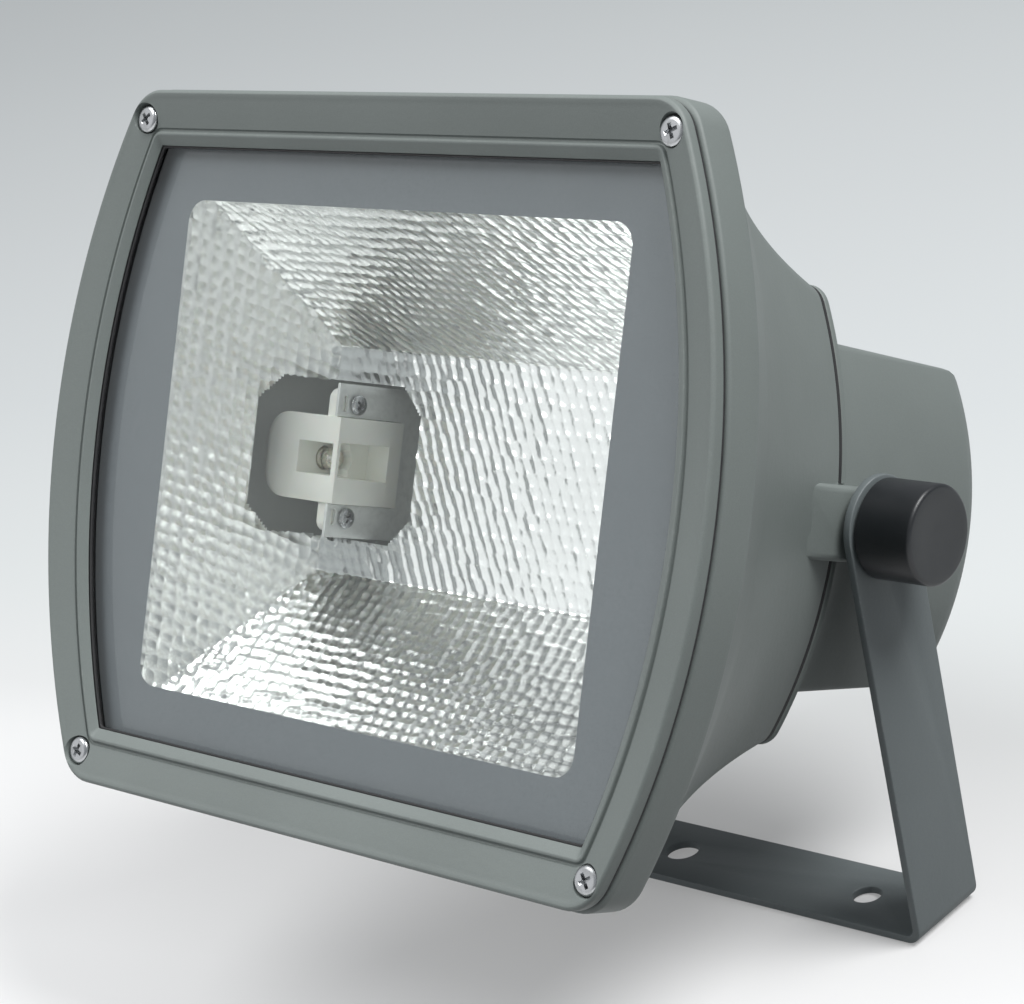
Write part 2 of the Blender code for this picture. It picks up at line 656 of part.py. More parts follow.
def make_main_housing(head, material):
    pocket = GLASS.grown(GLASS_GASKET_WALL + 2 * SEAT_GAP)
    pocket_outside = pocket.grown(POCKET_WALL)
    reflector_rest = pocket.grown(-REFLECTOR_REST)
    rim = housing_section(-RIM_OVERHANG)
    rim_inside = housing_section(HOUSING_WALL - RIM_OVERHANG)
    land_back = RIM_FRONT + HOUSING_WALL
    taper = housing_taper()
    inside = [(housing_section(inset + HOUSING_WALL * math.hypot(1, slope)), y)
              for y, inset, slope in taper[:-1]]
    neck_inset = NECK_INSET + HOUSING_WALL
    rim_edge = [(housing_section(RIM_ROUND * (1 - math.sin(angle)) - RIM_OVERHANG),
                 RIM_FRONT + RIM_ROUND * (1 - math.cos(angle))) for angle in spread(0, math.pi / 2, EDGE_STEPS)]
    levels = [(housing_section(neck_inset), BULKHEAD_FRONT)] + inside[::-1] + [
        (rim_inside, land_back), (pocket_outside, land_back), (pocket_outside, LEDGE_BACK),
        (LEDGE, LEDGE_BACK), (LEDGE, REFLECTOR_FLOOR), (reflector_rest, REFLECTOR_FLOOR),
        (reflector_rest, POCKET_FLOOR), (pocket, POCKET_FLOOR), (pocket, RIM_FRONT)]
    levels += rim_edge + [(rim, RIM_BACK - RIM_ROUND)]
    levels += [(housing_section(inset), y) for y, inset, _ in taper]
    housing = make_object("main_housing", stack(levels), head, material)

    lug = prism("X", lug_outline(), LUG_ROOT_X, LUG_FACE_X)
    join(housing, both_sides(lug))
    boss_radius = M5_RADIUS + SCREW_GAP + BOSS_WALL
    frame_boss_back = FRAME_SEAT + FRAME_SCREW_LENGTH + BOSS_WALL
    cover_boss_front = COVER_SCREW_SEAT - COVER_SCREW_LENGTH - BOSS_WALL
    for side, level in CORNERS.values():
        frame_centre = (side * FRAME_SCREW_X, level * FRAME_SCREW_Z)
        cover_centre = (side * COVER_SCREW_X, level * COVER_SCREW_Z)
        join(housing,
             turned("Y", frame_centre, [(land_back - SEAT_GAP, boss_radius), (frame_boss_back, boss_radius)],
                    SMALL_STEPS),
             turned("Y", cover_centre, [(cover_boss_front, boss_radius), (NECK_Y - SEAT_GAP, boss_radius)],
                    SMALL_STEPS))
        cut(housing,
            hole("Y", frame_centre, RIM_FRONT - OVERCUT, FRAME_SEAT + FRAME_SCREW_LENGTH + SEAT_GAP,
                 M5_RADIUS + SCREW_GAP),
            hole("Y", cover_centre, COVER_SCREW_SEAT - COVER_SCREW_LENGTH - SEAT_GAP, NECK_Y + OVERCUT,
                 M5_RADIUS + SCREW_GAP),
            hole("Y", (side * REFLECTOR_SCREW_X, level * REFLECTOR_SCREW_Z), MOUTH_Y, LEDGE_BACK + OVERCUT,
                 M3_RADIUS + SCREW_GAP))
    stud_end = LUG_FACE_X - STUD_DEPTH - SEAT_GAP
    foot_hole = hole("Y", (foot_screw_x(), 0), BULKHEAD_FRONT - OVERCUT,
                     BULKHEAD_FRONT + FOOT_SCREW_LENGTH - PLATE_SHEET, M4_RADIUS + SCREW_GAP)
    cut(housing,
        both_sides(hole("X", (0, 0), stud_end, LUG_FACE_X + OVERCUT, STUD_RADIUS + SCREW_GAP)),
        both_sides(foot_hole),
        hole("Y", (0, GROMMET_Z), BULKHEAD_FRONT - OVERCUT, NECK_Y + OVERCUT, GROMMET_HOLE_RADIUS))


def make_grommet(head, material):
    """A grooved rubber ring in the bulkhead's hole."""
    flange = GROMMET_HOLE_RADIUS + GROMMET_FLANGE
    waist = GROMMET_HOLE_RADIUS - SEAT_GAP
    front = BULKHEAD_FRONT - SEAT_GAP
    back = NECK_Y + SEAT_GAP
    profile = [(front - GROMMET_LIP, GROMMET_BORE_RADIUS), (front - GROMMET_LIP, flange), (front, flange),
               (front, waist), (back, waist), (back, flange), (back + GROMMET_LIP, flange),
               (back + GROMMET_LIP, GROMMET_BORE_RADIUS)]
    make_object("cable_grommet", turned("Y", (0, GROMMET_Z), profile, SMALL_STEPS, closed=True), head, material)


# Rear cover

def cover_skin(wall):
    """Levels (section, y) of the cover's box from its front to its rear, moved in by the wall."""
    round_radius = COVER_ROUND - wall
    round_start = COVER_REAR - COVER_ROUND
    fillet_end = COVER_SEAT + COVER_FILLET
    draft = math.tan(COVER_DRAFT)
    start = (COVER.grown(-wall - (round_start - fillet_end) * draft), round_start)
    levels = [start]
    for angle in spread(0, math.pi / 2, FILLET_STEPS)[1:]:
        inset = wall + (round_start - fillet_end) * draft + round_radius * (1 - math.cos(angle))
        levels.append((COVER.grown(-inset), round_start + round_radius * math.sin(angle)))
    return levels


def cover_half_height(y):
    """Half the height of the cover's outside at a depth between fillet and rear rounding."""
    return COVER_HALF_HEIGHT - (y - COVER_SEAT - COVER_FILLET) * math.tan(COVER_DRAFT)


def gland_pad_z():
    return -cover_half_height(GLAND_Y) - GLAND_PAD_RISE


def make_rear_cover(head, material):
    fillet_end = COVER_SEAT + COVER_FILLET
    fillet = [(blend(NECK, COVER, 1 - COVER_FILLET * (1 - math.sin(angle)) / COVER_TOP_STEP),
               COVER_SEAT + COVER_FILLET * (1 - math.cos(angle)))
              for angle in spread(0, math.pi / 2, FILLET_STEPS)]
    inside = [(COVER.grown(-COVER_WALL), COVER_FRONT), (COVER.grown(-COVER_WALL), fillet_end)]
    inside += cover_skin(COVER_WALL)
    levels = inside[::-1] + [(NECK, COVER_FRONT), (NECK, COVER_SEAT)] + fillet + cover_skin(0)
    cover = make_object("rear_cover", stack(levels), head, material)
    gland_hole_end = COVER_WALL + GLAND_PAD_RISE + OVERCUT
    join(cover, turned("Z", (0, GLAND_Y), [(gland_pad_z(), GLAND_PAD_RADIUS),
                                           (gland_pad_z() + COVER_WALL, GLAND_PAD_RADIUS)], ROUND_STEPS))
    tray_boss = M4_RADIUS + SCREW_GAP + BOSS_WALL
    tray_hole_end = TRAY_FRONT + TRAY_SCREW_LENGTH + SEAT_GAP
    for side, level in CORNERS.values():
        screw_centre = (side * COVER_SCREW_X, level * COVER_SCREW_Z)
        tray_centre = (side * TRAY_SCREW_X, level * TRAY_SCREW_Z)
        join(cover, turned("Y", tray_centre, [(TRAY_BACK + SEAT_GAP, tray_boss),
                                              (COVER_REAR - COVER_WALL / 2, tray_boss)], SMALL_STEPS))
        cut(cover,
            hole("Y", tray_centre, TRAY_BACK - OVERCUT, tray_hole_end, M4_RADIUS + SCREW_GAP),
            turned("Y", screw_centre, [(COVER_SCREW_SEAT, M5_HEAD_RADIUS + SCREW_GAP),
                                       (COVER_SEAT + COVER_FILLET, M5_HEAD_RADIUS + SCREW_GAP)], SMALL_STEPS),
            hole("Y", screw_centre, COVER_FRONT - OVERCUT, COVER_SEAT + OVERCUT, M5_RADIUS + SCREW_GAP))
    cut(cover,
        hole("Z", (0, GLAND_Y), gland_pad_z() - OVERCUT, gland_pad_z() + gland_hole_end,
             GLAND_RADIUS + SCREW_GAP),
        both_sides(lug_notch()))


def lug_notch():
    """The room that the rear cover and its seal leave round the right lug."""
    return prism("X", lug_outline(NOTCH_GAP), LUG_ROOT_X - NOTCH_GAP, LUG_FACE_X)


def make_cover_seal(head, material):
    outer = NECK.grown(-SEAL_INSET)
    inner = NECK.grown(-SEAL_INSET - SEAL_WIDTH)
    back = SEAL_FRONT + SEAL_THICKNESS
    seal = make_object("rear_cover_seal", stack([(outer, SEAL_FRONT), (outer, back), (inner, back),
                                                 (inner, SEAL_FRONT)], closed=True), head, material)
    cut(seal, both_sides(lug_notch()))


def make_cover_screws(head, material):
    for corner, (side, level) in CORNERS.items():
        centre = (side * COVER_SCREW_X, level * COVER_SCREW_Z)
        make_object(f"cover_screw_{corner}", m5_screw("Y", centre, COVER_SCREW_SEAT, 1, COVER_SCREW_LENGTH),
                    head, material)


# Reflector

def trough_half_width(y):
    """Half the width between the end panels at a depth."""
    share = (y - REFLECTOR_BACK_Y) / (MOUTH_Y - REFLECTOR_BACK_Y)
    return REFLECTOR_BACK_HALF_WIDTH + (MOUTH_HALF_WIDTH - REFLECTOR_BACK_HALF_WIDTH) * share


def trough_half_height(y):
    """Half the height of the reflecting space at a depth."""
    share = (y - REFLECTOR_BACK_Y) / (MOUTH_Y - REFLECTOR_BACK_Y)
    return REFLECTOR_BACK_HALF_HEIGHT + (MOUTH_HALF_HEIGHT - REFLECTOR_BACK_HALF_HEIGHT) * share


def end_panel_half_height(x, y):
    """Half the height of an end panel, which tapers again along its flange."""
    if x > MOUTH_HALF_WIDTH + REFLECTOR_SHEET:
        return END_FLANGE_HALF_HEIGHT
    return trough_half_height(min(y, REFLECTOR_BACK_Y)) - SEAT_GAP


def half_octagon(edge, far, half_height, chamfer):
    """Half of an eight-sided cut-out: straight at the edge that is given, open towards far."""
    inner = edge + math.copysign(chamfer, far - edge)
    return [(edge, -half_height + chamfer), (inner, -half_height), (far, -half_height),
            (far, half_height), (inner, half_height), (edge, half_height - chamfer)]


def make_reflector(head, material):
    rim = MOUTH_HALF_HEIGHT + TROUGH_FLANGE
    path = [(MOUTH_Y, -rim), (MOUTH_Y, -MOUTH_HALF_HEIGHT), (REFLECTOR_BACK_Y, -REFLECTOR_BACK_HALF_HEIGHT),
            (REFLECTOR_BACK_Y, REFLECTOR_BACK_HALF_HEIGHT), (MOUTH_Y, MOUTH_HALF_HEIGHT), (MOUTH_Y, rim)]
    outline = sheet_outline(path, -REFLECTOR_SHEET)
    ends = [[(side * (trough_half_width(y) - SEAT_GAP), y, z) for y, z in outline] for side in (LEFT, RIGHT)]
    trough = make_object("reflector_trough", loft(ends), head, material)
    window = half_octagon(CUTOUT_X, MOUTH_HALF_WIDTH, CUTOUT_HALF_HEIGHT, CUTOUT_CHAMFER)
    cut(trough, both_sides(prism("Y", window, REFLECTOR_BACK_Y - OVERCUT, REFLECTOR_BACK_Y + OVERCUT)))
    for name, side in SIDES.items():
        path = [(MOUTH_HALF_WIDTH + END_FLANGE, MOUTH_Y), (MOUTH_HALF_WIDTH, MOUTH_Y),
                (REFLECTOR_BACK_HALF_WIDTH, REFLECTOR_BACK_Y)]
        outline = sheet_outline(path, -REFLECTOR_SHEET)
        ends = [[(x, y, level * end_panel_half_height(x, y)) for x, y in outline] for level in (-1, 1)]
        panel = make_object(f"reflector_end_{name}", mirrored(loft(ends), side), head, material)
        notch = half_octagon(CUTOUT_FRONT_Y, REFLECTOR_BACK_Y + OVERCUT, CUTOUT_HALF_HEIGHT, CUTOUT_CHAMFER)
        cut(panel, mirrored(prism("X", notch, REFLECTOR_BACK_HALF_WIDTH - OVERCUT,
                                  MOUTH_HALF_WIDTH + OVERCUT), side))
        for level in (-1, 1):
            cut(panel, hole("Y", (side * REFLECTOR_SCREW_X, level * REFLECTOR_SCREW_Z), MOUTH_Y - OVERCUT,
                            MOUTH_Y + OVERCUT, M3_RADIUS + SCREW_GAP))


def make_reflector_screws(head, material):
    for corner, (side, level) in CORNERS.items():
        screw = pan_screw("Y", (side * REFLECTOR_SCREW_X, level * REFLECTOR_SCREW_Z), MOUTH_Y, -1,
                          M3_RADIUS, M3_HEAD_RADIUS, M3_HEAD_HEIGHT, REFLECTOR_SCREW_LENGTH)
        make_object(f"reflector_screw_{corner}", screw, head, material)


# Lamp holders

def holder_screw_y():
    return HOLDER_FRONT_Y + HOLDER_SCREW_SETBACK


def contact_y():
    return HOLDER_FRONT_Y + CHANNEL_BRIDGE + CHANNEL_LENGTH / 2


def foot_screw_x():
    return plate_x() + PLATE_SHEET + FOOT_SCREW_REACH


def plate_x():
    """Inner face of the steel plate that carries the holder's ears."""
    return EAR_X - SEAT_GAP - PLATE_SHEET


def make_lamp_holder(name, side, head, ceramic):
    far_x = HOLDER_X + HOLDER_LENGTH
    back = HOLDER_FRONT_Y + HOLDER_DEPTH
    body = [(HOLDER_X, HOLDER_FRONT_Y), (far_x - HOLDER_CHAMFER, HOLDER_FRONT_Y),
            (far_x, HOLDER_FRONT_Y + HOLDER_CHAMFER), (far_x, back - HOLDER_CHAMFER),
            (far_x - HOLDER_CHAMFER, back), (HOLDER_X, back)]
    holder = make_object(f"lamp_holder_{name}",
                         mirrored(prism("Z", body, -HOLDER_HALF_HEIGHT, HOLDER_HALF_HEIGHT), side), head, ceramic)
    ear_front = holder_screw_y() - EAR_LEAD
    join(holder, mirrored(box((EAR_X, ear_front, -EAR_HALF_HEIGHT),
                              (EAR_X + EAR_THICKNESS, ear_front + EAR_WIDTH, EAR_HALF_HEIGHT)), side))
    channel_front = HOLDER_FRONT_Y + CHANNEL_BRIDGE
    slot_start = HOLDER_X + SLOT_BRIDGE
    screw_holes = together(*(hole("X", (holder_screw_y(), level * HOLDER_SCREW_Z), EAR_X - OVERCUT,
                                  EAR_X + EAR_THICKNESS + OVERCUT, M4_RADIUS + SCREW_GAP) for level in (-1, 1)))
    cut(holder,
        mirrored(box((HOLDER_X - OVERCUT, channel_front, -CHANNEL_HALF_HEIGHT),
                     (HOLDER_X + CHANNEL_DEPTH, channel_front + CHANNEL_LENGTH, CHANNEL_HALF_HEIGHT)), side),
        mirrored(box((slot_start, HOLDER_FRONT_Y - OVERCUT, -SLOT_HALF_HEIGHT),
                     (slot_start + SLOT_LENGTH, HOLDER_FRONT_Y + SLOT_DEPTH, SLOT_HALF_HEIGHT)), side),
        mirrored(hole("X", (contact_y(), 0), HOLDER_X + OVERCUT,
                      CONTACT_X + CONTACT_LENGTH + CONTACT_TRAVEL + SEAT_GAP, CONTACT_RADIUS + SCREW_GAP), side),
        mirrored(screw_holes, side))


def make_holder_bracket(name, side, head, steel):
    """A folded plate: its wall holds the ceramic, its foot stands on the bulkhead."""
    foot_y = BULKHEAD_FRONT - SEAT_GAP
    path = [(plate_x(), HOLDER_FRONT_Y), (plate_x(), foot_y), (plate_x() + PLATE_SHEET + FOOT_LENGTH, foot_y)]
    outline = sheet_outline(path, -PLATE_SHEET)
    bracket = make_object(f"holder_bracket_{name}",
                          mirrored(prism("Z", outline, -PLATE_HALF_HEIGHT, PLATE_HALF_HEIGHT), side), head, steel)
    window_half = HOLDER_HALF_HEIGHT + SEAT_GAP
    window_back = HOLDER_FRONT_Y + HOLDER_DEPTH + SEAT_GAP
    wall_holes = together(*(hole("X", (holder_screw_y(), level * HOLDER_SCREW_Z), plate_x() - OVERCUT,
                                 EAR_X, M4_RADIUS + SCREW_GAP) for level in (-1, 1)))
    cut(bracket,
        mirrored(box((plate_x() - OVERCUT, HOLDER_FRONT_Y - OVERCUT, -window_half),
                     (EAR_X + OVERCUT, window_back, window_half)), side),
        mirrored(wall_holes, side),
        mirrored(hole("Y", (foot_screw_x(), 0), foot_y - 2 * OVERCUT, foot_y + OVERCUT,
                      M4_RADIUS + SCREW_GAP), side))


def make_holder_screws(name, side, head, steel):
    for level_name, level in (("top", 1), ("bottom", -1)):
        screw = m4_screw("X", (holder_screw_y(), level * HOLDER_SCREW_Z), plate_x(), -1, HOLDER_SCREW_LENGTH)
        make_object(f"holder_screw_{name}_{level_name}", mirrored(screw, side), head, steel)
    foot_seat = BULKHEAD_FRONT - SEAT_GAP - PLATE_SHEET
    screw = m4_screw("Y", (side * foot_screw_x(), 0), foot_seat, -1, FOOT_SCREW_LENGTH)
    make_object(f"bracket_screw_{name}", screw, head, steel)


def make_lamp_contact(name, side, head, brass):
    """The sprung plunger that presses on the lamp's end; it slides along the lamp's axis."""
    axis = make_empty(f"contact_axis_{name}", head, (side * CONTACT_X, contact_y(), 0))
    profile = [(0, CONTACT_TIP_RADIUS), (CONTACT_TIP_LENGTH, CONTACT_RADIUS), (CONTACT_LENGTH, CONTACT_RADIUS)]
    make_object(f"lamp_contact_{name}", mirrored(turned("X", (0, 0), profile, SMALL_STEPS), side), axis, brass)


# Gear

def make_gear_tray(head, steel):
    tray = make_object("gear_tray", rounded_slab("Y", (0, 0), TRAY_HALF_WIDTH, TRAY_HALF_HEIGHT, TRAY_CORNER,
                                                 TRAY_FRONT, TRAY_BACK), head, steel)
    for corner, (side, level) in CORNERS.items():
        centre = (side * TRAY_SCREW_X, level * TRAY_SCREW_Z)
        cut(tray, hole("Y", centre, TRAY_FRONT - OVERCUT, TRAY_BACK + OVERCUT, M4_RADIUS + SCREW_GAP))
        screw = m4_screw("Y", centre, TRAY_FRONT, -1, TRAY_SCREW_LENGTH)
        make_object(f"tray_screw_{corner}", screw, head, steel)


def make_ballast(head, steel, copper):
    """A choke: a core whose windows are as wide as its outer limbs, and a coil round the double middle limb."""
    front = GEAR_SEAT - CORE_DEPTH
    middle = (CORE_LEFT + CORE_RIGHT) / 2
    half_length = (CORE_RIGHT - CORE_LEFT) / 2
    core = make_object("ballast_core", box((CORE_LEFT, front, -CORE_HALF_HEIGHT),
                                           (CORE_RIGHT, GEAR_SEAT, CORE_HALF_HEIGHT)), head, steel)
    windows = [box((CORE_LEFT - OVERCUT, front + CORE_LIMB, low),
                   (CORE_RIGHT + OVERCUT, GEAR_SEAT - CORE_LIMB, high))
               for low, high in ((CORE_LIMB, 2 * CORE_LIMB), (-2 * CORE_LIMB, -CORE_LIMB))]
    cut(core, *windows)
    gap = 2 * SEAT_GAP
    outer = (half_length + COIL_OVERHANG, 2 * CORE_LIMB - gap)
    inner = (half_length + gap, CORE_LIMB + gap)
    coil_ends = (front + CORE_LIMB + gap, GEAR_SEAT - CORE_LIMB - gap)
    rings = [[(middle + side_x * half_x, y, side_z * half_z)
              for side_x, side_z in ((1, -1), (1, 1), (-1, 1), (-1, -1))]
             for (half_x, half_z), y in ((outer, coil_ends[0]), (outer, coil_ends[1]),
                                         (inner, coil_ends[1]), (inner, coil_ends[0]))]
    make_object("ballast_coil", loft(rings, closed=True), head, copper)


def make_small_gear(head, plastic, aluminium):
    ignitor = rounded_slab("Y", (IGNITOR_X, IGNITOR_Z), IGNITOR_WIDTH / 2, IGNITOR_HEIGHT / 2, IGNITOR_CORNER,
                           GEAR_SEAT - IGNITOR_DEPTH, GEAR_SEAT)
    make_object("ignitor", ignitor, head, plastic)
    can_top = GEAR_SEAT - CAPACITOR_DEPTH
    capacitor = turned("Y", (IGNITOR_X, CAPACITOR_Z), [(can_top, CAPACITOR_RADIUS - CAPACITOR_CHAMFER),
                                                       (can_top + CAPACITOR_CHAMFER, CAPACITOR_RADIUS),
                                                       (GEAR_SEAT, CAPACITOR_RADIUS)], ROUND_STEPS)
    make_object("capacitor", capacitor, head, aluminium)
    low = (TERMINAL_X - TERMINAL_WIDTH / 2, GEAR_SEAT - TERMINAL_DEPTH, -TERMINAL_HEIGHT / 2)
    high = (TERMINAL_X + TERMINAL_WIDTH / 2, GEAR_SEAT, TERMINAL_HEIGHT / 2)
    block = make_object("terminal_block", box(low, high), head, plastic)
    pitch = TERMINAL_HEIGHT / TERMINAL_WAYS
    notches = [box((low[0] - OVERCUT, low[1] - OVERCUT, low[2] + pitch * way - TERMINAL_GAP / 2),
                   (high[0] + OVERCUT, low[1] + TERMINAL_DEPTH / 2, low[2] + pitch * way + TERMINAL_GAP / 2))
               for way in range(1, TERMINAL_WAYS)]
    cut(block, together(*notches))


# Cable gland

def hexagon(centre, radius):
    return circle(centre, radius, 6)


def make_cable_gland(head, brass, rubber):
    pad = gland_pad_z()
    centre = (0, GLAND_Y)
    flange_top = pad - SEAT_GAP
    flange_bottom = flange_top - GLAND_HEX_HEIGHT
    neck_bottom = flange_bottom - GLAND_NECK_LENGTH
    body = make_object("gland_body", prism("Z", hexagon(centre, GLAND_HEX_RADIUS), flange_bottom, flange_top),
                       head, brass)
    join(body,
         turned("Z", centre, [(flange_top - OVERCUT, GLAND_RADIUS), (pad + GLAND_THREAD_LENGTH, GLAND_RADIUS)],
                SMALL_STEPS),
         turned("Z", centre, [(neck_bottom, GLAND_RADIUS), (flange_bottom + OVERCUT, GLAND_RADIUS)], SMALL_STEPS))
    cut(body, hole("Z", centre, neck_bottom - OVERCUT, pad + GLAND_THREAD_LENGTH + OVERCUT, GLAND_BORE))
    seal_top = neck_bottom - SEAT_GAP
    make_object("gland_seal", ring("Z", centre, seal_top - GLAND_SEAL_LENGTH, seal_top, GLAND_BORE,
                                   GLAND_RADIUS, SMALL_STEPS), head, rubber)
    nut_outer = GLAND_HEX_RADIUS - GLAND_NUT_WALL / 2
    nut_top = flange_bottom - SEAT_GAP
    nut_bottom = seal_top - GLAND_SEAL_LENGTH - SEAT_GAP
    room = GLAND_RADIUS + SEAT_GAP
    dome = nut_bottom - GLAND_NUT_WALL
    make_object("gland_nut", turned("Z", centre, [
        (nut_top, room), (nut_top, nut_outer), (nut_bottom + GLAND_NUT_WALL, nut_outer),
        (dome, nut_outer - GLAND_NUT_WALL), (dome, GLAND_BORE), (nut_bottom, GLAND_BORE), (nut_bottom, room)],
        SMALL_STEPS, closed=True), head, brass)
    nut_seat = -cover_half_height(GLAND_Y + GLAND_HEX_RADIUS) + COVER_WALL + SEAT_GAP
    lock_nut = make_object("gland_lock_nut", prism("Z", hexagon(centre, GLAND_HEX_RADIUS), nut_seat,
                                                   nut_seat + LOCK_NUT_THICKNESS), head, brass)
    cut(lock_nut, hole("Z", centre, nut_seat - OVERCUT, nut_seat + LOCK_NUT_THICKNESS + OVERCUT,
                       GLAND_RADIUS + SCREW_GAP))


# Bracket and knobs

def bracket_profile():
    """The strip's outline seen from the front: inner skin, then outer skin, with round bends."""
    lift = STRIP_THICKNESS
    top = PIVOT_HEIGHT + STRIP_WIDTH
    outer_radius = BEND_RADIUS + STRIP_THICKNESS
    bend_x = ARM_INNER_X - BEND_RADIUS
    bend_z = lift + BEND_RADIUS

    def skin(radius):
        right = [(bend_x + radius * math.sin(angle), bend_z - radius * math.cos(angle))
                 for angle in spread(0, math.pi / 2, FILLET_STEPS)]
        right.append((bend_x + radius, top))
        return [(-x, z) for x, z in reversed(right)] + right

    return skin(BEND_RADIUS) + skin(outer_radius)[::-1]


def make_bracket(parent, material):
    half = STRIP_WIDTH / 2
    bracket = make_object("mounting_bracket", prism("Y", bracket_profile(), -half, half), parent, material)
    arm = [(half * math.cos(angle), PIVOT_HEIGHT + half * math.sin(angle))
           for angle in spread(0, math.pi, ROUND_STEPS)]
    reach = 2 * PIVOT_HEIGHT
    side = half + OVERCUT
    above = arm + [(-side, PIVOT_HEIGHT), (-side, reach), (side, reach), (side, PIVOT_HEIGHT)]
    cut(bracket,
        both_sides(prism("X", above, ARM_INNER_X - OVERCUT, ARM_OUTER_X + OVERCUT)),
        both_sides(hole("X", (0, PIVOT_HEIGHT), ARM_INNER_X - OVERCUT, ARM_OUTER_X + OVERCUT,
                        STUD_RADIUS + SEAT_GAP)),
        turned("Z", (0, 0), [(-OVERCUT, BASE_HOLE_RADIUS), (STRIP_THICKNESS + OVERCUT, BASE_HOLE_RADIUS)],
               ROUND_STEPS),
        both_sides(turned("Z", (SIDE_HOLE_X, 0), [(-OVERCUT, SIDE_HOLE_RADIUS),
                                                  (STRIP_THICKNESS + OVERCUT, SIDE_HOLE_RADIUS)], ROUND_STEPS)))


def make_pivot(name, side, head, axis, plastic, steel):
    """The lug's friction washer, and the knob with its stud and washer, which turn together."""
    washer_x = LUG_FACE_X + SEAT_GAP
    make_object(f"friction_washer_{name}",
                mirrored(ring("X", (0, 0), washer_x, washer_x + FRICTION_WASHER_THICKNESS,
                              STUD_RADIUS + SCREW_GAP, FRICTION_WASHER_RADIUS, ROUND_STEPS), side), head, plastic)
    make_object(f"knob_washer_{name}",
                mirrored(ring("X", (0, 0), KNOB_WASHER_X, KNOB_WASHER_X + KNOB_WASHER_THICKNESS,
                              STUD_RADIUS + SCREW_GAP, KNOB_WASHER_RADIUS, ROUND_STEPS), side), axis, steel)
    bore_end = KNOB_INNER_X + KNOB_BORE_DEPTH
    make_object(f"pivot_stud_{name}",
                mirrored(turned("X", (0, 0), [(LUG_FACE_X - STUD_DEPTH, STUD_RADIUS), (bore_end, STUD_RADIUS)],
                                SMALL_STEPS), side), axis, steel)
    bore = STUD_RADIUS + SEAT_GAP
    recess = KNOB_WASHER_RADIUS + SEAT_GAP
    recess_x = KNOB_INNER_X + KNOB_RECESS
    face_x = KNOB_INNER_X + KNOB_LENGTH
    rim = [(face_x - KNOB_ROUND * (1 - math.sin(angle)), KNOB_RADIUS - KNOB_ROUND * (1 - math.cos(angle)))
           for angle in spread(0, math.pi / 2, EDGE_STEPS)]
    profile = [(bore_end + SEAT_GAP, bore), (recess_x, bore), (recess_x, recess), (KNOB_INNER_X, recess),
               (KNOB_INNER_X, KNOB_RADIUS - KNOB_INNER_EDGE), (KNOB_INNER_X + KNOB_INNER_EDGE, KNOB_RADIUS)] + rim
    make_object(f"knob_{name}", mirrored(turned("X", (0, 0), profile, KNOB_STEPS), side), axis, plastic)


# The whole

def centre_on_floor(root):
    """Move the root so that the middle of the part's footprint is the origin."""
    bpy.context.view_layer.update()
    depths = [(thing.matrix_world @ vertex.co).y for thing in bpy.data.objects
              if thing.type == "MESH" and not thing.hide_render for vertex in thing.data.vertices]
    root.location.y = -(min(depths) + max(depths)) / 2


def build():
    for thing in list(bpy.data.objects):
        bpy.data.objects.remove(thing, do_unlink=True)
    grey_paint = make_material("grey_powder_coat", (0.205, 0.225, 0.215), 0.55)
    bracket_paint = make_material("bracket_paint", (0.085, 0.1, 0.11), 0.6)
    glass = make_material("clear_glass", (0.95, 0.97, 0.96), 0.05, transmission=0.9)
    rubber = make_material("black_silicone", (0.02, 0.02, 0.02), 0.7)
    bright = make_material("hammered_aluminium", (0.85, 0.86, 0.87), 0.2, metallic=1.0)
    ceramic = make_material("cream_ceramic", (0.75, 0.7, 0.6), 0.5)
    steel = make_material("zinc_plated_steel", (0.6, 0.6, 0.58), 0.35, metallic=1.0)
    black = make_material("black_plastic", (0.02, 0.02, 0.023), 0.35)
    copper = make_material("copper_wire", (0.6, 0.25, 0.12), 0.4, metallic=1.0)
    brass = make_material("nickel_plated_brass", (0.6, 0.56, 0.45), 0.3, metallic=1.0)

    root = make_empty("floodlight")
    make_bracket(root, bracket_paint)
    head = make_empty("tilt_axis", root, (0, 0, PIVOT_HEIGHT))
    head.rotation_euler.x = -TILT
    make_front_frame(head, grey_paint)
    make_frame_screws(head, steel)
    make_glazing(head, glass, rubber)
    make_main_housing(head, grey_paint)
    make_grommet(head, rubber)
    make_rear_cover(head, grey_paint)
    make_cover_seal(head, rubber)
    make_cover_screws(head, steel)
    make_reflector(head, bright)
    make_reflector_screws(head, steel)
    make_gear_tray(head, steel)
    make_ballast(head, steel, copper)
    make_small_gear(head, black, bright)
    make_cable_gland(head, brass, rubber)
    for name, side in SIDES.items():
        make_lamp_holder(name, side, head, ceramic)
        make_holder_bracket(name, side, head, steel)
        make_holder_screws(name, side, head, steel)
        make_lamp_contact(name, side, head, brass)
        knob_axis = make_empty(f"knob_axis_{name}", head)
        make_pivot(name, side, head, knob_axis, black, steel)
    centre_on_floor(root)


build()
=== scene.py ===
"""Looks of a wide floodlight that tilts in a flat U-shaped bracket.

Lengths are in metres and +Z is up. The head's pieces are drawn in the head's own frame, whose origin is the
middle of the tilt axis, with -Y the way the light shines, and are then turned to the tilt it rests at. Left
and right are the viewer's.
"""

import json
import math
from typing import NamedTuple

import bmesh
import bpy
import numpy as np
from mathutils import Matrix, Vector


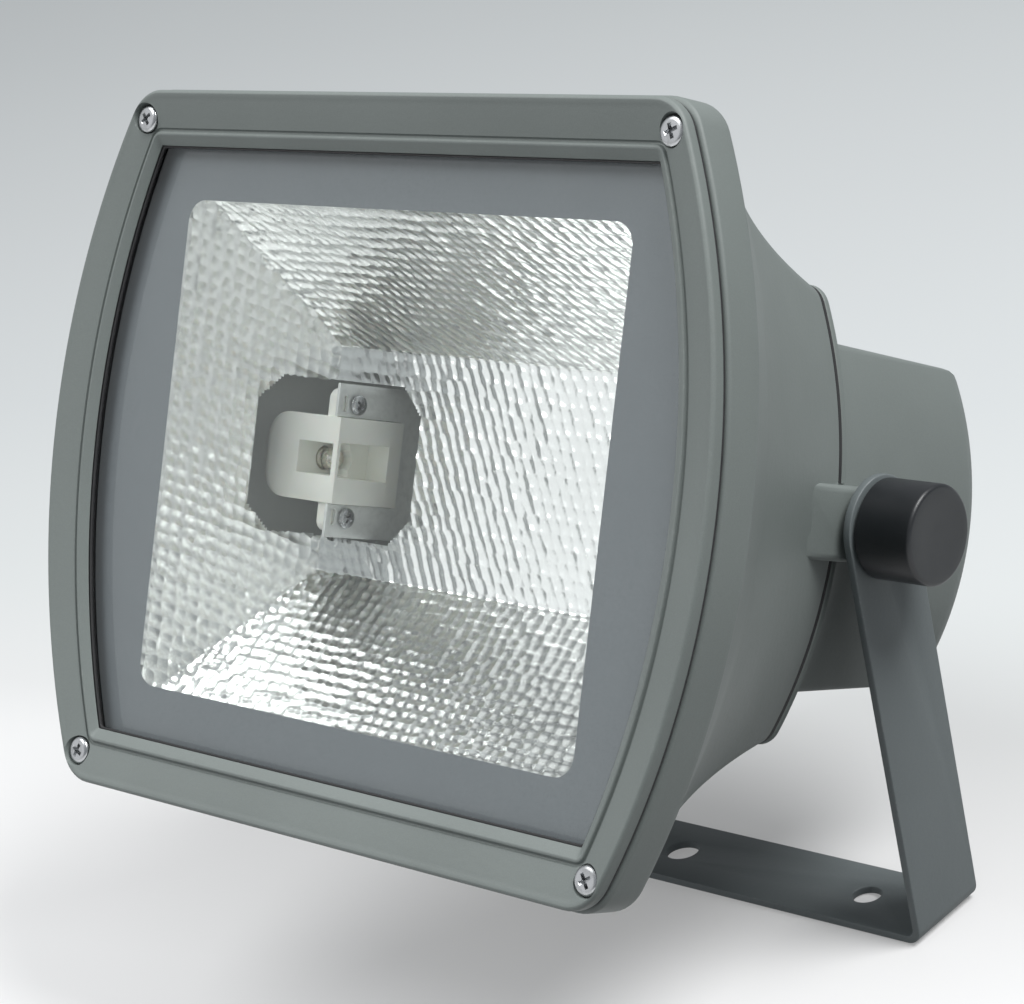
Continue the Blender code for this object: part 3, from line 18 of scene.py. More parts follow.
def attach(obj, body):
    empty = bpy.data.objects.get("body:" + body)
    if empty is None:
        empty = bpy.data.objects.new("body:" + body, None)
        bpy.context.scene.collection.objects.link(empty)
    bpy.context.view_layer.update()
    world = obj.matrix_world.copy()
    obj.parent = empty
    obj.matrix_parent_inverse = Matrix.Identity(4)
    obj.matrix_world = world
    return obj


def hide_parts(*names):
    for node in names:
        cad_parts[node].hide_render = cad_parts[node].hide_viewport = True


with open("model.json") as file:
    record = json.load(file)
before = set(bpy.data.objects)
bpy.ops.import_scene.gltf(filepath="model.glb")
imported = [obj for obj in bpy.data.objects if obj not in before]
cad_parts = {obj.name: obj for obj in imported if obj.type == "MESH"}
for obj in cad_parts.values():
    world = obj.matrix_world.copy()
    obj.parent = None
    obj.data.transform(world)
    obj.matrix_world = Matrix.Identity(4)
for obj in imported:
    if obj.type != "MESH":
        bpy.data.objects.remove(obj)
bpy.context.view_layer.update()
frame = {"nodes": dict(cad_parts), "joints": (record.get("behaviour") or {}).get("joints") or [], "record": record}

# Angles
QUARTER_TURN = math.pi / 2
HALF_TURN = math.pi
FULL_TURN = 2 * math.pi

# Where the head and the bracket stand
TILT = math.radians(26.6)
PIVOT = Vector(next(joint["pos_m"] for joint in frame["joints"] if joint["name"] == "head_tilt"))
HEAD = Matrix.Translation(PIVOT) @ Matrix.Rotation(-TILT, 4, "X")
BASE = Matrix.Translation((0, PIVOT.y, 0))

# Gaps, and how far a cutting shape goes past what it cuts
SEAT_GAP = 0.0003
SCREW_GAP = 0.0004
SHEET_GAP = 0.0001
OVERCUT = 0.002

# Front frame
FRAME_FRONT = -0.1354
FRAME_DEPTH = 0.0045
FRAME_EDGE_ROUND = 0.0015
SIDE_BORDER = 0.0184
TOP_BORDER = 0.0197
BAND_WIDTH = 0.0135
BAND_DISH = 0.0032
BAND_CURVE = 1.15
BAND_START = 0.2
GROOVE_WIDTH = 0.0014
GROOVE_DEPTH = 0.0008
BEAD_WIDTH = 0.0012
BEAD_RISE = 0.0004
BEVEL_DROP = 0.0023
LIP_THICKNESS = 0.0003
FRAME_SCREW_X = 0.125
FRAME_SCREW_Z = 0.1161
FRAME_SEAT_THICKNESS = 0.0007
CAST_EDGE = 0.0003
SMALLEST_CORNER = 0.0006

# Gaskets and glass
FRAME_GASKET_THICKNESS = 0.0008
FRAME_GASKET_INSET = 0.0004
FRAME_GASKET_WIDTH = 0.0026
GLASS_OVERLAP = 0.0035
GLASS_CORNER = 0.006
GLASS_THICKNESS = 0.004
GLASS_ARRIS = 0.0005
GLASS_GASKET_WALL = 0.0015
GLASS_GASKET_FRONT = 0.0009
GLASS_GASKET_BACK = 0.0015
GLASS_GASKET_SHOWS = 0.0007
WINDOW_HALF_WIDTH = 0.1065
WINDOW_HALF_HEIGHT = 0.0884
WINDOW_CORNER = 0.008
PRINT_THICKNESS = 0.00008

# Main housing
RIM_OVERHANG = 0.001
RIM_ROUND = 0.0016
RIM_DEPTH = 0.0165
HOUSING_WALL = 0.003
SLOPED_WALL = 0.0033
CREASE_Y = -0.081
CREASE_INSET = 0.0211
CREASE_SOFTENING = 0.006
SHALLOW_PULL_Y = -0.0521
SHALLOW_PULL_INSET = 0.035
NECK_INSET = 0.046
NECK_Y = -0.0086
NECK_EDGE = 0.0006
BULKHEAD_THICKNESS = 0.004
POCKET_WALL = 0.003
REFLECTOR_STEP = 0.0016
REFLECTOR_REST = 0.006
LEDGE_THICKNESS = 0.0025
LUG_RADIUS = 0.013
LUG_FACE_X = 0.120
LUG_ROOT_X = 0.1092
LUG_REACH = 0.044
LUG_EDGE = 0.003
LUG_RAMP = 0.006

# Rear cover and its seal
SEAL_THICKNESS = 0.001
SEAL_SQUEEZE = 0.0002
SEAL_INSET = 0.0001
SEAL_WIDTH = 0.0042
COVER_LIP = 0.003
COVER_FILLET = 0.012
COVER_TOP_STEP = 0.019
COVER_DRAFT = math.radians(2.5)
COVER_REAR = 0.097
COVER_ROUND = 0.022
COVER_WALL = 0.0025
COVER_SCREW_X = 0.070
COVER_SCREW_Z = 0.073
SPOT_FACE_DEPTH = 0.0004
NOTCH_GAP = 0.0005

# Cable gland
GLAND_Y = 0.030
GLAND_PAD_RADIUS = 0.014
GLAND_PAD_RISE = 0.0015
GLAND_RADIUS = 0.008
GLAND_BORE = 0.0048
GLAND_HEX_RADIUS = 0.0115
GLAND_HEX_HEIGHT = 0.005
GLAND_NECK_LENGTH = 0.009
GLAND_NUT_WALL = 0.0015
GLAND_SEAL_LENGTH = 0.007
GLAND_DOME_RADIUS = 0.0088
THREAD_PITCH = 0.0015
THREAD_DEPTH = 0.0006
THREAD_LEVELS = 10

# Knobs and bracket
STUD_RADIUS = 0.004
FRICTION_WASHER_THICKNESS = 0.0015
KNOB_WASHER_THICKNESS = 0.0012
KNOB_WASHER_RADIUS = 0.010
KNOB_RADIUS = 0.0175
KNOB_LENGTH = 0.0224
KNOB_ROUND = 0.0016
KNOB_RECESS = 0.0007
KNOB_BORE_DEPTH = 0.0165
KNOB_DISH = 0.0003
KNOB_FACE_RADIUS = 0.0135
STRIP_WIDTH = 0.037
STRIP_THICKNESS = 0.003
BEND_RADIUS = 0.003
STRIP_EDGE = 0.0005
BASE_HOLE_RADIUS = 0.0065
SIDE_HOLE_RADIUS = 0.0055
SIDE_HOLE_X = 0.0884

# Reflector
REFLECTOR_SHEET = 0.0008
REFLECTOR_BACK_Y = -0.050
REFLECTOR_BACK_HALF_WIDTH = 0.0973
REFLECTOR_BACK_HALF_HEIGHT = 0.043
MOUTH_HALF_WIDTH = 0.114
MOUTH_HALF_HEIGHT = 0.100
TROUGH_FLANGE = 0.005
END_FLANGE = 0.014
END_FLANGE_HALF_HEIGHT = 0.066
CUTOUT_X = 0.051
CUTOUT_FRONT_Y = -0.083
CUTOUT_HALF_HEIGHT = 0.0295
CUTOUT_CHAMFER = 0.010
FOLD_RADIUS = 0.0012
HAMMER_GRID = 0.0011
HAMMER_PITCH = 0.005
HAMMER_DEPTH = 0.0009
END_HAMMER_SHARE = 0.35
HAMMER_RANDOMNESS = 0.35
HAMMER_SHARPNESS = 0.6

# Lamp holders, as on the right; the left one is its mirror image
HOLDER_X = 0.069
HOLDER_LENGTH = 0.042
HOLDER_FRONT_Y = -0.0735
HOLDER_DEPTH = 0.033
HOLDER_HALF_HEIGHT = 0.016
HOLDER_CHAMFER = 0.006
HOLDER_END_RADIUS = 0.0105
HOLDER_EDGE = 0.0009
EAR_X = 0.0727
EAR_THICKNESS = 0.005
EAR_HALF_HEIGHT = 0.0265
EAR_WIDTH = 0.020
EAR_LEAD = 0.008
CHANNEL_DEPTH = 0.011
CHANNEL_LENGTH = 0.025
CHANNEL_HALF_HEIGHT = 0.0067
CHANNEL_BRIDGE = 0.0015
SLOT_LENGTH = 0.0185
SLOT_HALF_HEIGHT = 0.006
SLOT_BRIDGE = 0.0025
SLOT_DEPTH = 0.017
PLATE_SHEET = 0.0012
PLATE_HALF_HEIGHT = 0.0285
PLATE_CORNER = 0.004
PLATE_SLOT_LEAD = 0.006
PLATE_SLOT_HALF_WIDTH = 0.0012
PLATE_SLOT_HALF_LENGTH = 0.003
PLATE_SLOT_CORNER = 0.0011
FOOT_LENGTH = 0.020
HOLDER_SCREW_Z = 0.021
HOLDER_SCREW_SETBACK = 0.0095
CONTACT_RADIUS = 0.0042
CONTACT_TIP_LENGTH = 0.0022
CONTACT_TIP_FLAT = 0.05
CONTACT_LENGTH = 0.014
CONTACT_X = 0.0825
CONTACT_TRAVEL = 0.003
# The contact's waist, as shares of its length and of its radius
CONTACT_WAIST = [(0.35, 1), (0.4, 0.86), (0.5, 0.86), (0.55, 1)]

# Screws
M5_RADIUS = 0.0025
M5_HEAD_RADIUS = 0.005
M5_HEAD_HEIGHT = 0.0024
M4_RADIUS = 0.002
M4_HEAD_RADIUS = 0.0038
SHANK_SHOWN = 0.002
# The pan head, for a radius of 1; its side, crown rise, cross floor and cross top are shares of its height
PAN_SEAT_RADIUS = 0.96
PAN_SEAT_RISE = 0.05
PAN_SIDE = 0.45
PAN_CROWN_RADIUS = 0.62
PAN_CROWN_RISE = 0.04
PAN_DOME_START = 0.2
CROSS_FLOOR = 0.2
CROSS_TOP = 1.3
CROSS_FLOOR_REACH = 0.28
CROSS_FLOOR_HALF_WIDTH = 0.09
CROSS_HALF_WIDTH = 0.16
SCREW_SEED = 4

# Camera, fitted to the photograph, in the head's frame: the unit is 125 mm
CAMERA_AZIMUTH = 0.746
CAMERA_ELEVATION = 0.031
CAMERA_ROLL = 0.113
CAMERA_UNIT = 0.125
CAMERA_SIDE = 0.283
CAMERA_LIFT = 0.033
CAMERA_DISTANCE = 8.626
FOCAL_PIXELS = 2913.602
IMAGE_WIDTH = 1024
SENSOR_WIDTH = 36.0

# Room and lamps: a ramp's stop is a place from 0 to 1 and a colour
SCREEN_HEADING = (-0.65, -0.7, 0.3)
SCREEN_SPAN = (0.72, 0.96)
SCREEN_COLOUR = (0.97, 0.98, 1.0)
ROOM_STOPS = [(0, (0.05, 0.055, 0.06)), (0.46, (0.12, 0.125, 0.13)), (0.56, (0.34, 0.355, 0.37)),
              (1, (0.56, 0.58, 0.60))]
LAMP_AIM = (0, 0, 0.15)
# Each lamp's place, size and power
LAMPS = {"left_lamp": ((-0.9, -1.0, 2.5), 1.6, 38), "right_lamp": ((1.4, 0.5, 2.4), 1.4, 84)}

# Floor, whose tone runs along a heading
FLOOR_HALF_WIDTH = 6.0
FLOOR_HEADING = math.radians(102)
FLOOR_SPAN = (-0.1, 1.5)
FLOOR_STOPS = [(0.0175, (0.56, 0.56, 0.56)), (0.08, (0.48, 0.48, 0.48)), (0.15, (0.395, 0.40, 0.40)),
               (0.217, (0.37, 0.383, 0.383)), (0.374, (0.342, 0.356, 0.36)), (0.606, (0.33, 0.343, 0.347)),
               (0.94, (0.32, 0.334, 0.338))]
FLOOR_GLOW = 0.5

# Facets and smoothing, with angles in degrees
SIDE_STEPS = 20
CORNER_STEPS = 8
ROUND_STEPS = 64
HEX_STEPS = 72
HOLE_STEPS = 40
TAPER_STEPS = 24
INNER_TAPER_STRIDE = 3
ARC_STEPS = 8
EDGE_STEPS = 3
EASE_LIMIT = 0.45
SMOOTH_BELOW = 40
GLASS_SMOOTH_BELOW = 20
KNOB_SMOOTH_BELOW = 35
SHEET_SMOOTH_BELOW = 60
BEVEL_ABOVE = 35
EDGE_REACH = 0.0006
FACING_SHARE = 0.9
SHORTEST_EDGE = 1e-6

LEFT = -1
RIGHT = 1
SIDES = {"left": LEFT, "right": RIGHT}
LEVELS = (-1, 1)
CORNERS = [(-1, 1), (1, 1), (-1, -1), (1, -1)]


class Section(NamedTuple):
    """An outline with bowed sides, rounded corners and a straight top and bottom."""

    half_width: float
    half_height: float
    bow: float
    corner: float

    def side_radius(self):
        return (self.half_height**2 + self.bow**2) / (2 * self.bow)

    def grown(self, offset):
        """The outline parallel to this one, offset outwards."""
        radius = self.side_radius() + offset
        half_height = self.half_height + offset
        bow = radius - math.sqrt(radius**2 - half_height**2)
        return Section(self.half_width + offset, half_height, bow, max(self.corner + offset, SMALLEST_CORNER))

    def points(self):
        """Points (x, z), anticlockwise from the lower end of the right side."""
        radius = self.side_radius()
        centre = self.half_width - radius
        corner_z = self.half_height - self.corner
        corner_x = centre + math.sqrt((radius - self.corner)**2 - corner_z**2)
        side_angle = math.atan2(corner_z, corner_x - centre)
        quarter = arc((centre, 0), radius, 0, side_angle, SIDE_STEPS)
        quarter += arc((corner_x, corner_z), self.corner, side_angle, QUARTER_TURN, CORNER_STEPS)[1:]
        quarter += [(x, self.half_height) for x in spread(quarter[-1][0], 0, SIDE_STEPS)[1:]]
        right = [(x, -z) for x, z in reversed(quarter[1:])] + quarter
        return right + [(-x, -z) for x, z in right[1:-1]]


def spread(first, last, steps):
    """Evenly spaced values from first to last, both included."""
    return [first + (last - first) * step / steps for step in range(steps + 1)]


def arc(centre, radius, first, last, steps=ARC_STEPS):
    """Points round a centre from one angle to another; a pair of radii makes it part of an ellipse."""
    wide, high = radius if isinstance(radius, tuple) else (radius, radius)
    return [(centre[0] + wide * math.cos(angle), centre[1] + high * math.sin(angle))
            for angle in spread(first, last, steps)]


def blend(start, end, share):
    """The section that lies the given share of the way from start to end."""
    return Section(*(a + (b - a) * share for a, b in zip(start, end)))


FRAME = Section(0.1574, 0.1267, 0.030, 0.015)
OPENING = Section(FRAME.half_width - SIDE_BORDER, FRAME.half_height - TOP_BORDER, 0.0201, SMALLEST_CORNER)
GLASS = Section(*OPENING.grown(GLASS_OVERLAP)[:3], GLASS_CORNER)
NECK = Section(FRAME.half_width - NECK_INSET, FRAME.half_height - NECK_INSET, 0.0195, 0.010)
COVER = Section(0.1085, NECK.half_height - COVER_TOP_STEP, 0.0163, 0.005)
LEDGE = Section(0.1178, 0.1022, 0.002, 0.003)

# Depths of the front stack, from the frame's front face back
FRAME_BACK = FRAME_FRONT + FRAME_DEPTH
FRAME_GASKET_FRONT = FRAME_BACK + SEAT_GAP
RIM_FRONT = FRAME_GASKET_FRONT + FRAME_GASKET_THICKNESS + SEAT_GAP
BEAD_CREST = FRAME_FRONT + BAND_DISH - BEAD_RISE
LIP_FRONT = BEAD_CREST + BEVEL_DROP
LIP_BACK = LIP_FRONT + LIP_THICKNESS
GLASS_GASKET_FRONT_Y = LIP_BACK + SEAT_GAP
GLASS_FRONT = GLASS_GASKET_FRONT_Y + GLASS_GASKET_FRONT + SEAT_GAP
GLASS_BACK = GLASS_FRONT + GLASS_THICKNESS
GLASS_GASKET_BACK_Y = GLASS_BACK + SEAT_GAP + GLASS_GASKET_BACK
POCKET_FLOOR = GLASS_GASKET_BACK_Y + SEAT_GAP
REFLECTOR_FLOOR = POCKET_FLOOR + REFLECTOR_STEP
LEDGE_BACK = REFLECTOR_FLOOR + LEDGE_THICKNESS
MOUTH_Y = REFLECTOR_FLOOR - SEAT_GAP - REFLECTOR_SHEET
FRAME_SEAT = FRAME_BACK - FRAME_SEAT_THICKNESS
RIM_BACK = RIM_FRONT + RIM_DEPTH

# Depths at the neck, and places along the tilt axis
BULKHEAD_FRONT = NECK_Y - BULKHEAD_THICKNESS
SEAL_FRONT = NECK_Y + SEAT_GAP
COVER_FRONT = SEAL_FRONT + SEAL_THICKNESS + SEAT_GAP
COVER_SEAT = COVER_FRONT + COVER_LIP
COVER_SCREW_SEAT = COVER_SEAT - SPOT_FACE_DEPTH
FILLET_END = COVER_SEAT + COVER_FILLET
ARM_INNER_X = LUG_FACE_X + 2 * SEAT_GAP + FRICTION_WASHER_THICKNESS
ARM_OUTER_X = ARM_INNER_X + STRIP_THICKNESS
KNOB_INNER_X = ARM_OUTER_X + 2 * SEAT_GAP + KNOB_WASHER_THICKNESS - KNOB_RECESS
PLATE_X = EAR_X - SEAT_GAP - PLATE_SHEET
HOLDER_SCREW_Y = HOLDER_FRONT_Y + HOLDER_SCREW_SETBACK
CONTACT_Y = HOLDER_FRONT_Y + CHANNEL_BRIDGE + CHANNEL_LENGTH / 2


# Shapes: a shape is a list of points with a list of faces

def at_axis(axis, along, a, b):
    """The point at a distance along an axis, with (a, b) across it in the order X, Y, Z."""
    return {"X": (along, a, b), "Y": (a, along, b), "Z": (a, b, along)}[axis]


def loft(rings, closed=False):
    """Rings of equal count joined in turn; an open loft has a cap on each end."""
    count = len(rings[0])
    faces = []
    for ring in range(len(rings) if closed else len(rings) - 1):
        near = ring * count
        far = (ring + 1) % len(rings) * count
        faces += [(near + i, near + (i + 1) % count, far + (i + 1) % count, far + i) for i in range(count)]
    points = [point for ring in rings for point in ring]
    if not closed:
        faces += [tuple(range(count)), tuple(range(len(points) - count, len(points)))]
    return points, faces


def stack(levels, closed=False):
    """A loft through sections (section, y) set square to the Y axis."""
    return loft([[(x, y, z) for x, z in section.points()] for section, y in levels], closed)


def prism(axis, outline, low, high):
    return loft([[at_axis(axis, along, a, b) for a, b in outline] for along in (low, high)])


def box(low, high):
    outline = [(low[0], low[2]), (high[0], low[2]), (high[0], high[2]), (low[0], high[2])]
    return prism("Y", outline, low[1], high[1])


def turned(axis, centre, profile, steps=ROUND_STEPS):
    """A profile of (distance along the axis, radius) turned round the axis through centre."""
    return loft([[at_axis(axis, along, a, b) for a, b in arc(centre, radius, 0, FULL_TURN, steps)[:-1]]
                 for along, radius in profile])


def rounded_outline(centre, half_a, half_b, corner):
    """A rectangle with rounded corners, anticlockwise."""
    outline = []
    for quarter, (side_a, side_b) in enumerate([(1, 1), (-1, 1), (-1, -1), (1, -1)]):
        middle = (centre[0] + side_a * (half_a - corner), centre[1] + side_b * (half_b - corner))
        start = quarter * QUARTER_TURN
        outline += arc(middle, corner, start, start + QUARTER_TURN, CORNER_STEPS)
    return outline


def softened(profile, radius, closed=False, steps=EDGE_STEPS):
    """A profile of points in a plane whose corners are eased by a curve that starts a radius away."""
    points = [Vector(point) for point in profile]
    eased = []
    for index, point in enumerate(points):
        if not closed and index in (0, len(points) - 1):
            eased.append(tuple(point))
            continue
        before = points[index - 1] - point
        after = points[(index + 1) % len(points)] - point
        start, end = (point + way.normalized() * min(radius, way.length * EASE_LIMIT)
                      for way in (before, after))
        eased += [tuple(start * (1 - share)**2 + point * 2 * share * (1 - share) + end * share**2)
                  for share in spread(0, 1, steps)]
    return eased


def sheet_outline(path, thickness):
    """The closed outline of a folded sheet: the path, and its copy offset to the left by the thickness."""
    path = [Vector(point) for point in path]
    directions = [(end - start).normalized() for start, end in zip(path, path[1:])]
    offset = []
    for index, point in enumerate(path):
        before = directions[max(index - 1, 0)]
        after = directions[min(index, len(directions) - 1)]
        normals = [Vector((-direction.y, direction.x)) for direction in (before, after)]
        mitre = (normals[0] + normals[1]).normalized()
        offset.append(point + mitre * thickness / mitre.dot(normals[0]))
    return [tuple(point) for point in path + offset[::-1]]


def together(*shapes):
    """Shapes gathered into one, still as separate bodies."""
    points, faces = [], []
    for shape_points, shape_faces in shapes:
        faces += [tuple(len(points) + index for index in face) for face in shape_faces]
        points += shape_points
    return points, faces


def mirrored(shape, side):
    """The shape itself for the right side, and its mirror image in X for the left."""
    points, faces = shape
    return [(side * x, y, z) for x, y, z in points], faces


def both_sides(shape):
    return together(mirrored(shape, LEFT), mirrored(shape, RIGHT))


def hole(axis, centre, low, high, radius):
    return turned(axis, centre, [(low, radius), (high, radius)], HOLE_STEPS)


# Nodes

class Value:
    """What a socket gives; sums, differences, products, quotients and powers of it add Math nodes."""

    def __init__(self, nodes, socket):
        self.nodes = nodes
        self.socket = socket

    def math(self, operation, first, second):
        return self.nodes.node("Math", {"operation": operation}, {0: first, 1: second})

    def __add__(self, other):
        return self.math("ADD", self, other)

    def __sub__(self, other):
        return self.math("SUBTRACT", self, other)

    def __rsub__(self, other):
        return self.math("SUBTRACT", other, self)

    def __mul__(self, other):
        return self.math("MULTIPLY", self, other)

    def __truediv__(self, other):
        return self.math("DIVIDE", self, other)

    def __rtruediv__(self, other):
        return self.math("DIVIDE", other, self)

    def __pow__(self, other):
        return self.math("POWER", self, other)

    __radd__ = __add__
    __rmul__ = __mul__


class Nodes:
    """A tree whose nodes are added one at a time."""

    def __init__(self, tree):
        self.tree = tree

    def node(self, kind, settings=(), inputs=(), output=0):
        """Adds a node: its settings first, then its sockets' values or links; returns one of its outputs.

        The kind is that of a shader node, or the full name of a node of another family.
        """
        node = self.tree.nodes.new(kind if "Node" in kind else "ShaderNode" + kind)
        for name, value in dict(settings).items():
            if name == "stops":
                set_stops(node.color_ramp.elements, value)
            else:
                setattr(node, name, value)
        for name, value in dict(inputs).items():
            if isinstance(value, Value):
                self.tree.links.new(value.socket, node.inputs[name])
            else:
                node.inputs[name].default_value = value
        return Value(self, node.outputs[output]) if node.outputs else None

    def component(self, vector, axis):
        return self.node("SeparateXYZ", {}, {0: vector}, output=axis)


def set_stops(elements, stops):
    while len(elements) < len(stops):
        elements.new(1)
    for element, (position, colour) in zip(elements, stops):
        element.position = position
        element.color = (*colour, 1)


class Finish(Nodes):
    """A material, or another owner of shader nodes."""

    def __init__(self, name, owners=bpy.data.materials):
        self.owner = owners.new(name)
        self.owner.use_nodes = True
        super().__init__(self.owner.node_tree)
        self.tree.nodes.clear()

    def place(self):
        return self.node("TexCoord", output="Object")

    def attribute(self, name, output):
        return self.node("Attribute", {"attribute_name": name}, output=output)

    def noise(self, scale, detail=2, roughness=0.5, stretch=None):
        """Noise whose scale is in features per metre, stretched along the axes if asked."""
        place = self.place()
        if stretch:
            place = self.node("Mapping", {}, {"Vector": place, "Scale": stretch})
        return self.node("TexNoise", {}, {"Vector": place, "Scale": scale, "Detail": detail,
                                          "Roughness": roughness})

    def contrast(self, value, low, high):
        """The value's stretch from low to high, moved to run from 0 to 1."""
        return self.node("MapRange", {}, {0: value, 1: low, 2: high, 3: 0, 4: 1})

    def patches(self, scale, detail=3, roughness=0.6, low=0.45, high=0.75):
        """Noise sharpened into patches: 1 inside them and 0 between them."""
        return self.contrast(self.noise(scale, detail, roughness), low, high)

    def tint(self, share, first, second):
        """A colour between two, by a share from 0 to 1."""
        colours = {key: colour if isinstance(colour, Value) else (*colour, 1)
                   for key, colour in ((6, first), (7, second))}
        return self.node("Mix", {"data_type": "RGBA"}, {0: share, **colours}, output=2)

    def bump(self, height, distance):
        return self.node("Bump", {}, {"Height": height, "Distance": distance, "Strength": 1})

    def bands(self, axis, scale, distortion, place):
        return self.node("TexWave", {"bands_direction": axis},
                         {"Vector": place, "Scale": scale, "Distortion": distortion})

    def shaded(self, **inputs):
        """Ends the material with a Principled shader; sockets are named with underscores for spaces."""
        sockets = {name.replace("_", " "): value for name, value in inputs.items()}
        return self.ended(self.node("BsdfPrincipled", {}, sockets))

    def ended(self, shader, kind="OutputMaterial"):
        self.node(kind, {}, {"Surface": shader})
        return self.owner


# Finishes

def scaled(colour, factor, lift=0.0):
    return tuple(channel * factor + lift for channel in colour)


def powder_coat(name, colour, worn):
    """Fine-textured matt powder coat, a little polished and paler where edges stand out."""
    coat = Finish(name)
    cloud = coat.patches(14, roughness=0.5, low=0.3, high=0.7)
    speckle = coat.patches(2600, detail=2, low=0.35, high=0.7)
    scuffs = coat.patches(260, detail=4, roughness=0.7)
    rub = coat.contrast(coat.attribute("edge", "Fac") * scuffs, 0.2, 1)
    base = coat.tint(cloud * 0.5 + speckle * 0.5, scaled(colour, 0.9), scaled(colour, 1.1))
    orange_peel = coat.noise(420)
    grain = coat.noise(2200, roughness=0.6)
    return coat.shaded(
        Base_Color=coat.tint(rub * 0.3, base, worn), Roughness=0.58 - rub * 0.12 - cloud * 0.06,
        Normal=coat.bump(orange_peel * 0.7 + grain * 0.3, 0.00009), IOR=1.5, Specular_IOR_Level=0.5)


def printed_enamel():
    """The grey ceramic print fired on the back of the glass."""
    enamel = Finish("printed_enamel")
    screen = enamel.patches(900, detail=2, roughness=0.5, low=0.3, high=0.7)
    base = enamel.tint(screen, (0.135, 0.152, 0.166), (0.155, 0.172, 0.186))
    return enamel.shaded(Base_Color=base, Roughness=0.5 + screen * 0.1,
                         Normal=enamel.bump(enamel.noise(1500), 0.00002))


def window_glass():
    """Clear toughened glass: light goes straight through, and its mirroring grows at grazing angles."""
    glass = Finish("clear_glass")
    smear = glass.patches(30, high=0.8)
    grazing = glass.node("LayerWeight", {}, {"Blend": 0.5}, output="Facing")
    clear = glass.node("BsdfTransparent", {}, {"Color": (0.985, 0.993, 0.989, 1)})
    shine = glass.node("BsdfPrincipled", {}, {"Base Color": (0.9, 0.92, 0.91, 1), "Metallic": 1.0,
                                              "Roughness": smear * 0.05 + 0.02})
    shine_share = grazing**5 * 0.9 + smear * 0.006 + 0.03
    return glass.ended(glass.node("MixShader", {}, {0: shine_share, 1: clear, 2: shine}))


def silicone():
    rubber = Finish("black_silicone")
    dust = rubber.patches(700)
    base = rubber.tint(dust * 0.4, (0.012, 0.012, 0.013), (0.045, 0.045, 0.045))
    return rubber.shaded(Base_Color=base, Roughness=0.62 + dust * 0.2,
                         Normal=rubber.bump(rubber.noise(1200, 3), 0.00004))


def dimple_cells(nodes, flat, pitch, randomness):
    """The distance from the middle of the nearest dimple, whose rows are laid half a step from each other."""
    row = nodes.component(flat, "Y")
    skewed = nodes.node("CombineXYZ", {}, {0: row * 0.5 + nodes.component(flat, "X"), 1: row})
    return nodes.node("TexVoronoi", {"voronoi_dimensions": "2D"},
                      {"Vector": skewed, "Scale": 1 / pitch, "Randomness": randomness})


def hammered_aluminium():
    """Bright anodised aluminium sheet; the bump sharpens the rims of the dimples that are in its mesh."""
    sheet = Finish("hammered_aluminium")
    haze = sheet.patches(40, low=0.35, high=0.7)
    grain = sheet.noise(900, roughness=0.6, stretch=(0.06, 1, 1))
    cells = dimple_cells(sheet, sheet.attribute("flat", "Vector"), HAMMER_PITCH, HAMMER_RANDOMNESS)
    base = sheet.tint(haze, (0.90, 0.91, 0.90), (0.96, 0.97, 0.96))
    return sheet.shaded(Base_Color=base, Metallic=1.0, Roughness=0.16 + haze * 0.05 + grain * 0.04,
                        Normal=sheet.bump(cells**2 + grain * 0.01, HAMMER_DEPTH * HAMMER_SHARPNESS))


def steatite():
    """Cream steatite, pressed and unglazed, faintly browned by heat."""
    ceramic = Finish("cream_steatite")
    fleck = ceramic.patches(1800, low=0.5)
    base = ceramic.tint(ceramic.patches(60) * 0.35, (0.93, 0.94, 0.87), (0.80, 0.79, 0.67))
    base = ceramic.tint(fleck * 0.3, base, (0.86, 0.85, 0.79))
    return ceramic.shaded(Base_Color=base, Roughness=0.55 + fleck * 0.15, Subsurface_Weight=0.08,
                          Subsurface_Scale=0.002, Normal=ceramic.bump(ceramic.noise(1400, 3), 0.00003))


def plated(name, bright, dull, roughness, scale=300, metallic=1.0):
    """Plated metal with small dull spots."""
    metal = Finish(name)
    spots = metal.patches(scale, detail=4, roughness=0.65)
    base = metal.tint(spots, bright, dull)
    return metal.shaded(Base_Color=base, Metallic=metallic, Roughness=roughness + spots * 0.18,
                        Normal=metal.bump(metal.noise(scale * 4), 0.000012))


def moulding(name, colour, roughness):
    """Smooth injection moulding with a faint texture and finger marks, and a painted highlight along its outward
    edges.
    """
    plastic = Finish(name)
    marks = plastic.patches(90, detail=4)
    # Painted highlight: the edge mask makes outward edges paler, as if they caught the light.
    edge = plastic.contrast(plastic.attribute("edge", "Fac"), 0.2, 1)
    base = plastic.tint(edge * 0.35 + marks * 0.1, colour, scaled(colour, 2.2, 0.01))
    return plastic.shaded(Base_Color=base, Roughness=roughness + marks * 0.12,
                          Normal=plastic.bump(plastic.noise(1800), 0.000015))


def laminations():
    """The edges of varnished steel sheets, about 1 mm thick, stacked along the core."""
    steel = Finish("laminated_steel")
    stripes = steel.bands("X", 320, 0.4, steel.place())
    base = steel.tint(stripes, (0.035, 0.03, 0.028), (0.16, 0.15, 0.14))
    return steel.shaded(Base_Color=base, Metallic=0.6, Roughness=0.45 + stripes * 0.2,
                        Normal=steel.bump(stripes, 0.00015))


def copper_winding():
    """Enamelled wire, about 1.6 mm across, laid side by side round the coil."""
    wire = Finish("wound_copper")
    upright = wire.node("Mapping", {}, {"Vector": wire.place(), "Rotation": (TILT, 0, 0)})
    turns = wire.bands("Y", 200, 0.3, upright)
    base = wire.tint(turns, (0.16, 0.035, 0.012), (0.62, 0.22, 0.09))
    return wire.shaded(Base_Color=base, Metallic=0.85, Roughness=0.4 - turns * 0.15,
                       Normal=wire.bump(turns, 0.0003))


